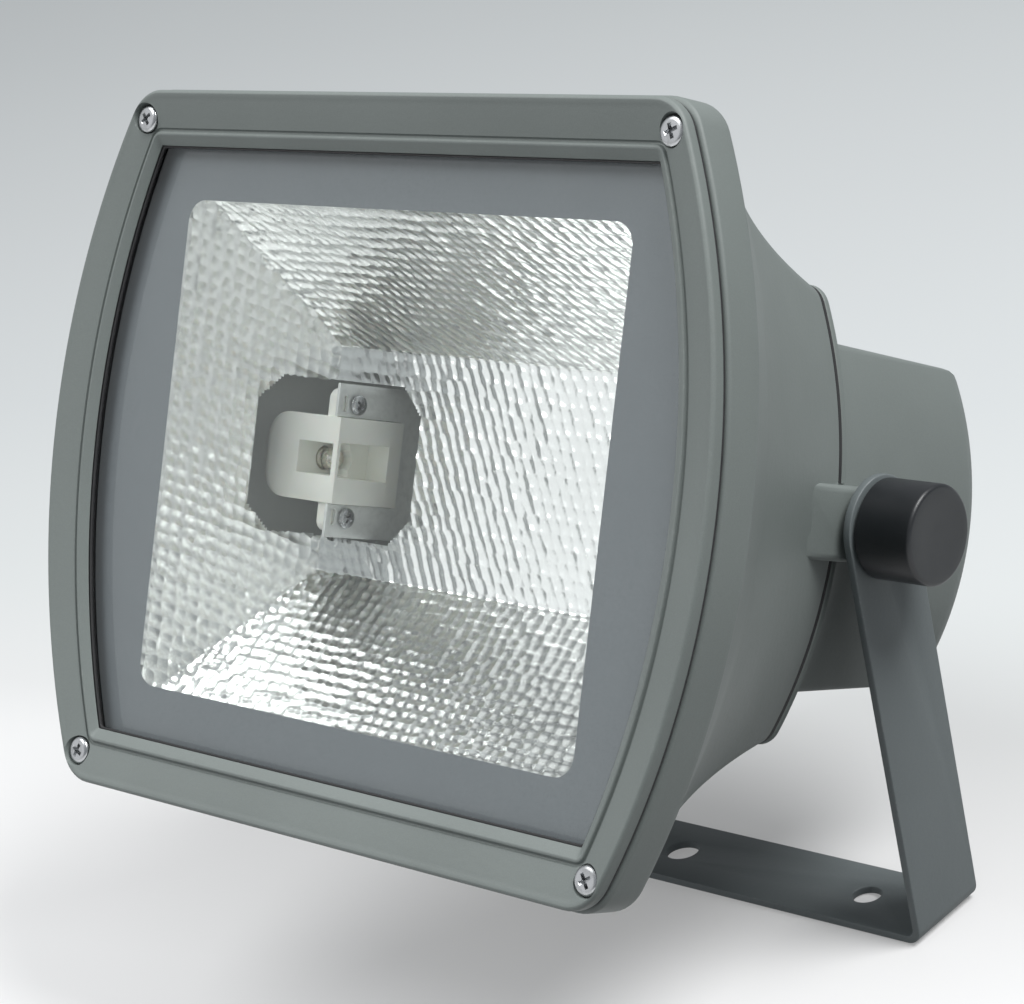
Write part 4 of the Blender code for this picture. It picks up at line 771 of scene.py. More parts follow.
FINISHES = {
    "housing_paint": powder_coat("housing_powder_coat", (0.150, 0.171, 0.163), (0.36, 0.37, 0.36)),
    "bracket_paint": powder_coat("bracket_powder_coat", (0.115, 0.133, 0.136), (0.30, 0.31, 0.31)),
    "clear_glass": window_glass(),
    "black_silicone": silicone(),
    "hammered_aluminium": hammered_aluminium(),
    "cream_ceramic": steatite(),
    "contact_brass": plated("contact_plating", (0.78, 0.76, 0.70), (0.5, 0.46, 0.38), 0.22),
    "nickel_brass": plated("nickel_plating", (0.72, 0.69, 0.60), (0.46, 0.43, 0.36), 0.25),
    "wound_copper": copper_winding(),
    "laminated_steel": laminations(),
    "can_aluminium": plated("drawn_aluminium", (0.78, 0.79, 0.80), (0.55, 0.56, 0.57), 0.3, 120),
    "black_plastic": moulding("knob_plastic", (0.007, 0.0085, 0.0105), 0.36),
    "gear_plastic": moulding("gear_plastic", (0.016, 0.016, 0.016), 0.5),
    "zinc_steel": plated("zinc_plating", (0.46, 0.47, 0.48), (0.30, 0.31, 0.31), 0.22),
}
ENAMEL = printed_enamel()
PASSIVATED = plated("passivated_steel", (0.80, 0.82, 0.80), (0.68, 0.70, 0.68), 0.42, metallic=0.35)
INNER_PRIMER = powder_coat("inner_primer", (0.84, 0.87, 0.85), (0.88, 0.89, 0.88))


# Pieces

def added(name, data):
    """A new object in the scene for this mesh, camera or lamp."""
    thing = bpy.data.objects.new(name, data)
    bpy.context.collection.objects.link(thing)
    return thing


def mesh_of(name, points, faces=()):
    mesh = bpy.data.meshes.new(name)
    mesh.from_pydata(points, [], faces)
    return mesh


def write_attribute(mesh, name, kind, values):
    """Gives every point of the mesh its value, or its vector, under this name."""
    field = "vector" if kind == "FLOAT_VECTOR" else "value"
    mesh.attributes.new(name, kind, "POINT").data.foreach_set(field, np.ravel(values))


def smooth(mesh, angle):
    """Shades the mesh smooth where its faces meet at less than the angle."""
    mesh.shade_smooth()
    mesh.set_sharp_from_angle(angle=math.radians(angle))


def drawn(name, shape, angle=SMOOTH_BELOW):
    """An object with this shape, its faces outwards."""
    mesh = mesh_of(name, *shape)
    shaping = bmesh.new()
    shaping.from_mesh(mesh)
    bmesh.ops.recalc_face_normals(shaping, faces=shaping.faces)
    shaping.to_mesh(mesh)
    shaping.free()
    smooth(mesh, angle)
    return added(name, mesh)


def flatten(thing, angle=SMOOTH_BELOW):
    """Replaces the object's mesh by what its modifiers make of it, and removes them."""
    bpy.context.view_layer.update()
    shown = thing.evaluated_get(bpy.context.evaluated_depsgraph_get())
    mesh = bpy.data.meshes.new_from_object(shown)
    thing.modifiers.clear()
    thing.data = mesh
    smooth(mesh, angle)


def shape_with(target, operation, tools):
    """Cuts the tools, which are shapes or objects, from the target or joins them to it, one after another."""
    for tool in tools:
        if not isinstance(tool, bpy.types.Object):
            tool = drawn(f"{target.name}_tool", tool)
        boolean = target.modifiers.new(operation, "BOOLEAN")
        boolean.operation = operation
        boolean.solver = "EXACT"
        boolean.object = tool
        flatten(target)
        bpy.data.objects.remove(tool)


def cut(target, *tools):
    shape_with(target, "DIFFERENCE", tools)


def join(target, *tools):
    shape_with(target, "UNION", tools)


def bevelled(thing, width, segments=EDGE_STEPS):
    """Rounds the object's edges."""
    bevel = thing.modifiers.new("edges", "BEVEL")
    bevel.width = width
    bevel.segments = segments
    bevel.limit_method = "ANGLE"
    bevel.angle_limit = math.radians(BEVEL_ABOVE)
    flatten(thing)


def mark_edges(mesh):
    """Writes the attribute edge: how much the surface turns outwards at each point, from 0 to 1."""
    shaping = bmesh.new()
    shaping.from_mesh(mesh)
    turns = []
    for vertex in shaping.verts:
        turn = 0
        for edge in vertex.link_edges:
            if len(edge.link_faces) == 2:
                area = sum(face.calc_area() for face in edge.link_faces)
                width = area / max(edge.calc_length(), SHORTEST_EDGE) / 2
                turn = max(turn, edge.calc_face_angle_signed(0) * EDGE_REACH / max(width, EDGE_REACH / 4))
        turns.append(min(max(turn, 0), 1))
    shaping.free()
    write_attribute(mesh, "edge", "FLOAT", turns)


def is_inside(face):
    """True for a housing face that looks in at the lamp chamber."""
    centre, normal = face.center, face.normal
    bulkhead = BULKHEAD_FRONT - CAST_EDGE < centre.y < NECK_Y - CAST_EDGE and normal.y < -FACING_SHARE
    return bulkhead or (centre.y > POCKET_FLOOR and centre.x * normal.x + centre.z * normal.z < 0)


def fitted(thing, slot, *nodes, body="head", place=HEAD, material=None, inside=None):
    """Sets a finished piece in its place, gives it its finish, and lets it ride on its body for its nodes."""
    mesh = thing.data
    mesh.materials.clear()
    mesh.materials.append(material or FINISHES[slot])
    if inside:
        mesh.materials.append(inside)
        for face in mesh.polygons:
            face.material_index = int(is_inside(face))
    mesh.transform(place)
    mark_edges(mesh)
    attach(thing, body)
    if nodes:
        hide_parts(*nodes)


# Front frame, gaskets and glass

def frame_section(inset):
    """The frame's outline, inset from its outer edge towards the opening."""
    return blend(FRAME, OPENING, inset / TOP_BORDER)


def make_front_frame():
    """The die-cast frame: a dished band, then a fine groove and bead round the opening."""
    groove_end = BAND_WIDTH + GROOVE_WIDTH
    groove_floor = FRAME_FRONT + BAND_DISH + GROOVE_DEPTH
    groove_slope = GROOVE_WIDTH / 4
    step = TOP_BORDER - GLASS_OVERLAP - GLASS_GASKET_WALL - 2 * SEAT_GAP
    edge = arc((FRAME_EDGE_ROUND, FRAME_FRONT + FRAME_EDGE_ROUND), FRAME_EDGE_ROUND, HALF_TURN,
               HALF_TURN + QUARTER_TURN)
    face = [(BAND_WIDTH * share, FRAME_FRONT + BAND_DISH * share**BAND_CURVE)
            for share in spread(BAND_START, 1, ARC_STEPS)]
    trim = [
        (BAND_WIDTH + groove_slope, groove_floor),
        (groove_end - groove_slope, groove_floor),
        (groove_end, BEAD_CREST + BEAD_RISE),
        (groove_end + BEAD_RISE, BEAD_CREST),
        (groove_end + BEAD_WIDTH, BEAD_CREST),
        (TOP_BORDER, LIP_FRONT),
        (TOP_BORDER, LIP_BACK),
        (step, LIP_BACK),
        (step - 2 * SEAT_GAP, FRAME_BACK),
        (0, FRAME_BACK)]
    profile = edge + face + softened([face[-1]] + trim + [edge[0]], CAST_EDGE)[1:-1]
    rings = [(frame_section(inset), y) for inset, y in profile]
    frame_piece = drawn("front_frame_casting", stack(rings, closed=True))
    for side, level in CORNERS:
        centre = (side * FRAME_SCREW_X, level * FRAME_SCREW_Z)
        seat_edge = M5_HEAD_RADIUS + SCREW_GAP
        cut(frame_piece,
            turned("Y", centre, [(FRAME_FRONT - OVERCUT, seat_edge + OVERCUT / 2),
                                 (FRAME_SEAT - OVERCUT, seat_edge), (FRAME_SEAT, seat_edge)]),
            hole("Y", centre, FRAME_SEAT - OVERCUT, FRAME_BACK + OVERCUT, M5_RADIUS + SCREW_GAP))
    fitted(frame_piece, "housing_paint", "front_frame")


def flat_ring(name, outer, inner, front, back):
    """A flat gasket with eased edges."""
    span = [(0, front), (0, back), (1, back), (1, front)]
    profile = softened(span, (back - front) / 4, closed=True)
    return drawn(name, stack([(blend(outer, inner, share), y) for share, y in profile], closed=True))


def make_gaskets():
    outer = GLASS.grown(GLASS_GASKET_WALL + SEAT_GAP)
    edge = GLASS.grown(SEAT_GAP)
    front_lip = GLASS.grown(-GLASS_OVERLAP - GLASS_GASKET_SHOWS)
    back_lip = GLASS.grown(-GLASS_OVERLAP)
    soft = GLASS_GASKET_FRONT / 3
    gasket = drawn("glass_gasket_profile", stack([
        (outer, GLASS_GASKET_FRONT_Y), (outer, GLASS_GASKET_BACK_Y),
        (back_lip, GLASS_GASKET_BACK_Y), (back_lip, GLASS_BACK + SEAT_GAP),
        (edge, GLASS_BACK + SEAT_GAP), (edge, GLASS_FRONT - SEAT_GAP),
        (front_lip, GLASS_FRONT - SEAT_GAP), (front_lip, GLASS_GASKET_FRONT_Y + soft),
        (front_lip.grown(soft), GLASS_GASKET_FRONT_Y)], closed=True))
    fitted(gasket, "black_silicone", "glass_gasket")
    joint = flat_ring("frame_joint_gasket", frame_section(FRAME_GASKET_INSET),
                      frame_section(FRAME_GASKET_INSET + FRAME_GASKET_WIDTH),
                      FRAME_GASKET_FRONT, FRAME_GASKET_FRONT + FRAME_GASKET_THICKNESS)
    fitted(joint, "black_silicone", "frame_gasket")


def make_glass():
    """The pane with ground edges, and the printed border on its back."""
    inner = GLASS.grown(-GLASS_ARRIS)
    pane = drawn("glass_pane", stack([(inner, GLASS_FRONT), (GLASS, GLASS_FRONT + GLASS_ARRIS),
                                      (GLASS, GLASS_BACK - GLASS_ARRIS), (inner, GLASS_BACK)]),
                 GLASS_SMOOTH_BELOW)
    fitted(pane, "clear_glass", "front_glass")
    outer = GLASS.grown(-GLASS_ARRIS - PRINT_THICKNESS)
    sheet = drawn("printed_border", stack([(outer, GLASS_BACK + PRINT_THICKNESS / 2),
                                           (outer, GLASS_BACK + PRINT_THICKNESS * 1.5)]))
    cut(sheet, prism("Y", rounded_outline((0, 0), WINDOW_HALF_WIDTH, WINDOW_HALF_HEIGHT, WINDOW_CORNER),
                     GLASS_BACK - OVERCUT, GLASS_BACK + OVERCUT))
    fitted(sheet, "clear_glass", material=ENAMEL)


# Main housing

def housing_section(inset):
    """The housing's outline between rim and neck, by its inset from the frame's outline."""
    return blend(FRAME, NECK, inset / NECK_INSET)


def housing_taper():
    """Places (inset, y) of the outer skin: a steep run to a soft crease, then a curve to the neck."""
    curve = []
    for share in spread(0, 1, TAPER_STEPS)[1:]:
        rest = 1 - share
        curve.append((rest**2 * CREASE_INSET + 2 * rest * share * SHALLOW_PULL_INSET + share**2 * NECK_INSET,
                      rest**2 * CREASE_Y + 2 * rest * share * SHALLOW_PULL_Y + share**2 * NECK_Y))
    beyond = [place for place in curve if place[1] > CREASE_Y + CREASE_SOFTENING]
    crease = softened([(RIM_OVERHANG / 2, RIM_BACK), (CREASE_INSET, CREASE_Y), beyond[0]], CREASE_SOFTENING,
                      steps=ARC_STEPS)
    return crease + beyond[1:]


def lug_outline(gap=0.0):
    """The lug seen along the tilt axis: a round end behind the axis and straight edges forward."""
    radius = LUG_RADIUS + gap
    end = arc((0, 0), radius, -QUARTER_TURN, QUARTER_TURN, ROUND_STEPS // 2)
    return [(-LUG_REACH, -radius)] + end + [(-LUG_REACH, radius)]


def make_lugs():
    """The two pivot lugs: each tapers forward on its outer face, and all its edges are round."""
    ramp = [(LUG_FACE_X, -LUG_RADIUS), (LUG_FACE_X + LUG_RAMP, -LUG_RADIUS),
            (LUG_FACE_X + LUG_RAMP, -LUG_REACH - OVERCUT), (LUG_FACE_X - LUG_RAMP, -LUG_REACH - OVERCUT)]
    lugs = drawn("lug_blank", both_sides(prism("X", lug_outline(), LUG_ROOT_X, LUG_FACE_X)))
    cut(lugs, both_sides(prism("Z", ramp, -LUG_REACH, LUG_REACH)))
    bevelled(lugs, LUG_EDGE)
    return lugs


def make_housing():
    """The die-cast body: rim, flared skin, neck and lugs, round the pocket for glass and reflector."""
    pocket = GLASS.grown(GLASS_GASKET_WALL + 2 * SEAT_GAP)
    pocket_outside = pocket.grown(POCKET_WALL)
    rest = pocket.grown(-REFLECTOR_REST)
    land_back = RIM_FRONT + HOUSING_WALL
    skin = housing_taper()
    inner_taper = [(housing_section(inset + SLOPED_WALL), y) for inset, y in skin[::INNER_TAPER_STRIDE]
                   if y < BULKHEAD_FRONT - HOUSING_WALL]
    inside = [(housing_section(NECK_INSET + HOUSING_WALL), BULKHEAD_FRONT)] + inner_taper[::-1]
    inside += [(housing_section(HOUSING_WALL - RIM_OVERHANG), land_back), (pocket_outside, land_back),
               (pocket_outside, LEDGE_BACK), (LEDGE, LEDGE_BACK), (LEDGE, REFLECTOR_FLOOR),
               (rest, REFLECTOR_FLOOR), (rest, POCKET_FLOOR), (pocket, POCKET_FLOOR), (pocket, RIM_FRONT)]
    rim_edge = arc((RIM_ROUND - RIM_OVERHANG, RIM_FRONT + RIM_ROUND), RIM_ROUND, -QUARTER_TURN, -HALF_TURN)
    shoulder = softened([rim_edge[-1], (-RIM_OVERHANG, RIM_BACK - RIM_ROUND), skin[0], skin[1]], RIM_ROUND)
    neck_edge = softened([skin[-2], skin[-1], (NECK_INSET + 2 * NECK_EDGE, NECK_Y)], NECK_EDGE)
    outside = rim_edge + shoulder[1:-1] + skin[1:-1] + neck_edge[1:]
    housing = drawn("housing_casting", stack(inside + [(housing_section(inset), y) for inset, y in outside]))
    join(housing, make_lugs())
    cut(housing, both_sides(hole("X", (0, 0), LUG_FACE_X - 2 * STUD_RADIUS, LUG_FACE_X + OVERCUT,
                                 STUD_RADIUS + SCREW_GAP)))
    fitted(housing, "housing_paint", "main_housing", inside=INNER_PRIMER)


# Rear cover

def cover_draft(y):
    """How far the cover's sides have come in at this depth."""
    return (y - FILLET_END) * math.tan(COVER_DRAFT)


def cover_box(wall):
    """Levels (section, y) of the cover's box from its front to its rear, moved in by the wall."""
    round_start = COVER_REAR - COVER_ROUND
    radius = COVER_ROUND - wall
    rear = arc((wall + cover_draft(round_start) + radius, round_start), radius, HALF_TURN, QUARTER_TURN)
    return [(COVER.grown(-inset), y) for inset, y in rear]


def gland_pad_z():
    return cover_draft(GLAND_Y) - COVER.half_height - GLAND_PAD_RISE


def make_rear_cover():
    """The gear cover: a lip against the seal, a hollow fillet and a box with round rear edges."""
    fillet = arc((COVER_FILLET, FILLET_END), COVER_FILLET, -QUARTER_TURN, -HALF_TURN)
    flare = [(blend(NECK, COVER, 1 - step / COVER_TOP_STEP), y) for step, y in fillet]
    edge = NECK.grown(-NECK_EDGE)
    lip = [(edge, COVER_FRONT), (NECK, COVER_FRONT + NECK_EDGE),
           (NECK, COVER_SEAT - NECK_EDGE), (edge, COVER_SEAT)]
    wall = COVER.grown(-COVER_WALL)
    inside = [(wall, COVER_FRONT), (wall, FILLET_END)] + cover_box(COVER_WALL)
    cover = drawn("rear_cover_casting", stack(inside[::-1] + lip + flare + cover_box(0)))
    pad = gland_pad_z()
    join(cover, turned("Z", (0, GLAND_Y), [
        (pad, GLAND_PAD_RADIUS - CAST_EDGE), (pad + CAST_EDGE, GLAND_PAD_RADIUS),
        (pad + COVER_WALL, GLAND_PAD_RADIUS)]))
    for side, level in CORNERS:
        centre = (side * COVER_SCREW_X, level * COVER_SCREW_Z)
        head_room = M5_HEAD_RADIUS + SCREW_GAP
        cut(cover, turned("Y", centre, [(COVER_SCREW_SEAT, head_room), (FILLET_END, head_room + CAST_EDGE)]),
            hole("Y", centre, COVER_FRONT - OVERCUT, COVER_SEAT + OVERCUT, M5_RADIUS + SCREW_GAP))
    notches = both_sides(prism("X", lug_outline(NOTCH_GAP), LUG_ROOT_X - NOTCH_GAP, LUG_FACE_X))
    gland_hole = hole("Z", (0, GLAND_Y), pad - OVERCUT, pad + 2 * COVER_WALL, GLAND_RADIUS + SCREW_GAP)
    cut(cover, gland_hole, notches)
    fitted(cover, "housing_paint", "rear_cover")
    seal = flat_ring("rear_cover_joint_seal", NECK.grown(-SEAL_INSET), NECK.grown(-SEAL_INSET - SEAL_WIDTH),
                     SEAL_FRONT - SEAL_SQUEEZE, SEAL_FRONT + SEAL_THICKNESS + SEAL_SQUEEZE)
    cut(seal, notches)
    fitted(seal, "black_silicone", "rear_cover_seal")


# Cable gland

def chamfered_hexagon(radius, low, high):
    """The gland's hexagon, its corners turned down at both ends."""
    sixth = FULL_TURN / 6
    flat = radius * math.cos(sixth / 2)
    shoulder = (radius - flat) / 2

    def level(reach, z):
        ring = []
        for angle in spread(0, FULL_TURN, HEX_STEPS)[:-1]:
            out = min(reach, flat / math.cos(angle % sixth - sixth / 2))
            ring.append((out * math.cos(angle), GLAND_Y + out * math.sin(angle), z))
        return ring

    return loft([level(flat, low), level(radius, low + shoulder),
                 level(radius, high - shoulder), level(flat, high)])


def make_gland():
    """The cable gland: a threaded body with its hexagon against the pad, and a domed nut with a mouth."""
    centre = (0, GLAND_Y)
    body_top = gland_pad_z() - SEAT_GAP
    hex_bottom = body_top - GLAND_HEX_HEIGHT
    neck_bottom = hex_bottom - GLAND_NECK_LENGTH
    inside_end = gland_pad_z() + COVER_WALL + GLAND_HEX_HEIGHT + GLAND_NUT_WALL
    thread = [(z, GLAND_RADIUS - (THREAD_DEPTH if turn % 2 else 0))
              for turn, z in enumerate(spread(neck_bottom, hex_bottom - THREAD_PITCH, THREAD_LEVELS))]
    body = drawn("gland_hexagon", chamfered_hexagon(GLAND_HEX_RADIUS, hex_bottom, body_top))
    join(body, turned("Z", centre, thread + [(hex_bottom + SEAT_GAP, GLAND_RADIUS - THREAD_DEPTH)]),
         turned("Z", centre, [(body_top - SEAT_GAP, GLAND_RADIUS), (inside_end, GLAND_RADIUS)]))
    cut(body, hole("Z", centre, neck_bottom - OVERCUT, inside_end + OVERCUT, GLAND_BORE))
    fitted(body, "nickel_brass", "gland_body")
    nut_top = hex_bottom - SEAT_GAP
    nut_end = neck_bottom - GLAND_SEAL_LENGTH - 2 * SEAT_GAP
    nut_radius = GLAND_HEX_RADIUS - GLAND_NUT_WALL / 2
    nut = drawn("gland_dome", chamfered_hexagon(nut_radius, nut_end + GLAND_NUT_WALL, nut_top))
    dome = arc((nut_end + 2 * GLAND_NUT_WALL, GLAND_BORE),
               (3 * GLAND_NUT_WALL, GLAND_DOME_RADIUS - GLAND_BORE), QUARTER_TURN, HALF_TURN)
    join(nut, turned("Z", centre, dome))
    thread_room = GLAND_RADIUS + SEAT_GAP
    cut(nut, turned("Z", centre, [(nut_end, thread_room), (nut_top + OVERCUT, thread_room)]),
        hole("Z", centre, nut_end - 2 * GLAND_NUT_WALL, nut_end + OVERCUT, GLAND_BORE))
    fitted(nut, "nickel_brass", "gland_nut")


# Reflector

def trough_half(y, at_back, at_mouth):
    """A half width or half height of the reflector at a depth, from those at its back and at its mouth."""
    return at_back + (at_mouth - at_back) * (y - REFLECTOR_BACK_Y) / (MOUTH_Y - REFLECTOR_BACK_Y)


def finely(path, step):
    """The path with points added so that none is further than a step from the next."""
    fine = [path[0]]
    for start, end in zip(path, path[1:]):
        count = max(1, math.ceil((Vector(end) - Vector(start)).length / step))
        fine += [tuple(Vector(start).lerp(Vector(end), share)) for share in spread(0, 1, count)[1:]]
    return fine


def grid_sheet(name, rows):
    """An open sheet through rows of points; its attribute flat is their place on the unfolded sheet."""
    width = len(rows[0])
    faces = [(r * width + c, r * width + c + 1, (r + 1) * width + c + 1, (r + 1) * width + c)
             for r in range(len(rows) - 1) for c in range(width - 1)]
    mesh = mesh_of(name, [point for row in rows for point in row], faces)
    middle = width // 2
    heights = np.cumsum([0] + [math.dist(row[middle], above[middle]) for row, above in zip(rows, rows[1:])])
    write_attribute(mesh, "flat", "FLOAT_VECTOR", [
        (math.dist(row[0], point), height, 0) for row, height in zip(rows, heights) for point in row])
    return added(name, mesh)


def inside_octagon(a, b, edge, far):
    """True inside half of an eight-sided cut-out, straight at its edge and open towards far."""
    depth = (a - edge) * math.copysign(1, far - edge)
    return depth > 0 and abs(b) < CUTOUT_HALF_HEIGHT - max(0, CUTOUT_CHAMFER - depth)


class Pattern(Nodes):
    """A Geometry Nodes tree with named inputs, which ends as a plain mesh."""

    def __init__(self, name, inputs):
        super().__init__(bpy.data.node_groups.new(name, "GeometryNodeTree"))
        interface = self.tree.interface
        interface.new_socket("Geometry", in_out="INPUT", socket_type="NodeSocketGeometry")
        self.settings = {}
        for label, (kind, value) in inputs.items():
            socket = interface.new_socket(label, in_out="INPUT", socket_type="NodeSocket" + kind)
            self.settings[socket.identifier] = value
        interface.new_socket("Geometry", in_out="OUTPUT", socket_type="NodeSocketGeometry")
        entry = self.tree.nodes.new("NodeGroupInput")
        self.given = {socket.name: Value(self, socket) for socket in entry.outputs}

    def named(self, name, kind):
        return self.node("GeometryNodeInputNamedAttribute", {"data_type": kind}, {"Name": name})

    def run(self, thing, geometry):
        """Ends the tree with this geometry, runs it on the object and leaves a plain mesh."""
        real = self.node("GeometryNodeRealizeInstances", {}, {"Geometry": geometry})
        painted = self.node("GeometryNodeSetMaterial", {},
                            {"Geometry": real, "Material": self.given["Material"]})
        self.node("NodeGroupOutput", {}, {0: painted})
        modifier = thing.modifiers.new(self.tree.name, "NODES")
        modifier.node_group = self.tree
        for identifier, value in self.settings.items():
            modifier[identifier] = value
        flatten(thing)


def hammered(sheet, depth):
    """Presses rows of round dimples into a fine grid."""
    pattern = Pattern("hammering", {"Material": ("Material", FINISHES["hammered_aluminium"]),
                                    "Dimple size": ("Float", HAMMER_PITCH), "Depth": ("Float", depth),
                                    "Randomness": ("Float", HAMMER_RANDOMNESS)})
    cells = dimple_cells(pattern, pattern.named("flat", "FLOAT_VECTOR"), pattern.given["Dimple size"],
                         pattern.given["Randomness"])
    offset = pattern.node("VectorMath", {"operation": "SCALE"}, {
        0: pattern.node("GeometryNodeInputNormal"), "Scale": cells**2 * pattern.given["Depth"]})
    pattern.run(sheet, pattern.node("GeometryNodeSetPosition", {}, {
        "Geometry": pattern.given["Geometry"], "Offset": offset}))


def clear_of(thing, gone):
    """Deletes the faces whose middle is in the cut-out."""
    shaping = bmesh.new()
    shaping.from_mesh(thing.data)
    away = [face for face in shaping.faces if gone(face.calc_center_median())]
    bmesh.ops.delete(shaping, geom=away, context="FACES")
    shaping.to_mesh(thing.data)
    shaping.free()


def finish_reflector_sheet(sheet, depth, node):
    """Hammers an open sheet, gives it its thickness and fits it."""
    hammered(sheet, depth)
    solid = sheet.modifiers.new("sheet", "SOLIDIFY")
    solid.thickness = REFLECTOR_SHEET
    solid.offset = -1
    solid.use_even_offset = True
    flatten(sheet, SHEET_SMOOTH_BELOW)
    fitted(sheet, "hammered_aluminium", node)


def make_reflector():
    """One folded trough and an end panel on each side, cut out round the lamp holders."""
    rim = MOUTH_HALF_HEIGHT + TROUGH_FLANGE
    path = [(MOUTH_Y, -rim), (MOUTH_Y, -MOUTH_HALF_HEIGHT), (REFLECTOR_BACK_Y, -REFLECTOR_BACK_HALF_HEIGHT),
            (REFLECTOR_BACK_Y, REFLECTOR_BACK_HALF_HEIGHT), (MOUTH_Y, MOUTH_HALF_HEIGHT), (MOUTH_Y, rim)]
    path = finely(softened(path, FOLD_RADIUS), HAMMER_GRID)
    columns = math.ceil(2 * REFLECTOR_BACK_HALF_WIDTH / HAMMER_GRID)
    trough = grid_sheet("reflector_trough_sheet", [
        [((trough_half(y, REFLECTOR_BACK_HALF_WIDTH, MOUTH_HALF_WIDTH) - SHEET_GAP) * share, y, z)
         for share in spread(-1, 1, columns)] for y, z in path])
    clear_of(trough, lambda point: point.y > REFLECTOR_BACK_Y - FOLD_RADIUS
             and inside_octagon(abs(point.x), point.z, CUTOUT_X, MOUTH_HALF_WIDTH))
    finish_reflector_sheet(trough, HAMMER_DEPTH, "reflector_trough")
    path = finely(softened([(MOUTH_HALF_WIDTH + END_FLANGE, MOUTH_Y), (MOUTH_HALF_WIDTH, MOUTH_Y),
                            (REFLECTOR_BACK_HALF_WIDTH, REFLECTOR_BACK_Y)], FOLD_RADIUS), HAMMER_GRID)
    count = math.ceil(2 * MOUTH_HALF_HEIGHT / HAMMER_GRID)
    for name, side in SIDES.items():
        panel = grid_sheet(f"reflector_end_sheet_{name}", [
            [(side * x, y, trough_half(y, REFLECTOR_BACK_HALF_HEIGHT, MOUTH_HALF_HEIGHT) * share)
             for share in spread(-1, 1, count)[::side]] for x, y in path])
        clear_of(panel, lambda point: abs(point.x) < MOUTH_HALF_WIDTH
                 and inside_octagon(point.y, point.z, CUTOUT_FRONT_Y, 0))
        clear_of(panel, lambda point: abs(point.x) > MOUTH_HALF_WIDTH + REFLECTOR_SHEET
                 and abs(point.z) > END_FLANGE_HALF_HEIGHT)
        finish_reflector_sheet(panel, HAMMER_DEPTH * END_HAMMER_SHARE, f"reflector_end_{name}")


# Lamp holders: their shapes are drawn for the right

def make_lamp_holder(name, side):
    """The steatite block with its two ears, the channel for the lamp's end and the slot in its front."""
    chamfer = arc((HOLDER_CHAMFER, HOLDER_CHAMFER), HOLDER_CHAMFER, -QUARTER_TURN, -HALF_TURN)
    levels = [(setback, HOLDER_FRONT_Y + depth) for setback, depth in chamfer]
    levels += [(setback, HOLDER_FRONT_Y + HOLDER_DEPTH - depth) for setback, depth in reversed(chamfer)]
    end_x = HOLDER_X + HOLDER_LENGTH - HOLDER_END_RADIUS
    end_z = HOLDER_HALF_HEIGHT - HOLDER_END_RADIUS
    rings = []
    for setback, y in levels:
        upper = arc((end_x - setback, end_z), HOLDER_END_RADIUS, 0, QUARTER_TURN)
        upper.append((HOLDER_X, HOLDER_HALF_HEIGHT))
        rings.append([(x, y, -z) for x, z in reversed(upper)] + [(x, y, z) for x, z in upper])
    holder = drawn(f"steatite_holder_{name}", mirrored(loft(rings), side))
    ear = rounded_outline((HOLDER_SCREW_Y - EAR_LEAD + EAR_WIDTH / 2, 0), EAR_WIDTH / 2, EAR_HALF_HEIGHT,
                          PLATE_CORNER)
    join(holder, mirrored(prism("X", ear, EAR_X, EAR_X + EAR_THICKNESS), side))
    channel_front = HOLDER_FRONT_Y + CHANNEL_BRIDGE
    slot_start = HOLDER_X + SLOT_BRIDGE
    openings = [
        box((HOLDER_X - OVERCUT, channel_front, -CHANNEL_HALF_HEIGHT),
            (HOLDER_X + CHANNEL_DEPTH, channel_front + CHANNEL_LENGTH, CHANNEL_HALF_HEIGHT)),
        box((slot_start, HOLDER_FRONT_Y - OVERCUT, -SLOT_HALF_HEIGHT),
            (slot_start + SLOT_LENGTH, HOLDER_FRONT_Y + SLOT_DEPTH, SLOT_HALF_HEIGHT)),
        hole("X", (CONTACT_Y, 0), HOLDER_X + OVERCUT, CONTACT_X + CONTACT_LENGTH + CONTACT_TRAVEL + SEAT_GAP,
             CONTACT_RADIUS + SCREW_GAP)]
    openings += [hole("X", (HOLDER_SCREW_Y, level * HOLDER_SCREW_Z), EAR_X - OVERCUT,
                      EAR_X + EAR_THICKNESS + OVERCUT, M4_RADIUS + SCREW_GAP) for level in LEVELS]
    cut(holder, *(mirrored(opening, side) for opening in openings))
    bevelled(holder, HOLDER_EDGE)
    fitted(holder, "cream_ceramic", f"lamp_holder_{name}")


def make_holder_bracket(name, side):
    """A folded steel plate: its wall holds the ceramic, its foot stands on the bulkhead."""
    foot_y = BULKHEAD_FRONT - SEAT_GAP
    path = softened([(PLATE_X, HOLDER_FRONT_Y), (PLATE_X, foot_y),
                     (PLATE_X + PLATE_SHEET + FOOT_LENGTH, foot_y)], PLATE_SHEET)
    folded = prism("Z", sheet_outline(path, -PLATE_SHEET), -PLATE_HALF_HEIGHT, PLATE_HALF_HEIGHT)
    plate = drawn(f"holder_plate_{name}", mirrored(folded, side))
    window_half = HOLDER_HALF_HEIGHT + SEAT_GAP
    openings = [box((PLATE_X - OVERCUT, HOLDER_FRONT_Y - OVERCUT, -window_half),
                    (EAR_X + OVERCUT, HOLDER_FRONT_Y + HOLDER_DEPTH + SEAT_GAP, window_half))]
    for level in LEVELS:
        screw_z = level * HOLDER_SCREW_Z
        slot = rounded_outline((HOLDER_SCREW_Y - PLATE_SLOT_LEAD, screw_z), PLATE_SLOT_HALF_WIDTH,
                               PLATE_SLOT_HALF_LENGTH, PLATE_SLOT_CORNER)
        openings += [hole("X", (HOLDER_SCREW_Y, screw_z), PLATE_X - OVERCUT, EAR_X, M4_RADIUS + SCREW_GAP),
                     prism("X", slot, PLATE_X - OVERCUT, EAR_X)]
    cut(plate, *(mirrored(opening, side) for opening in openings))
    bevelled(plate, PLATE_SHEET / 8, 2)
    fitted(plate, "zinc_steel", f"holder_bracket_{name}", material=PASSIVATED)


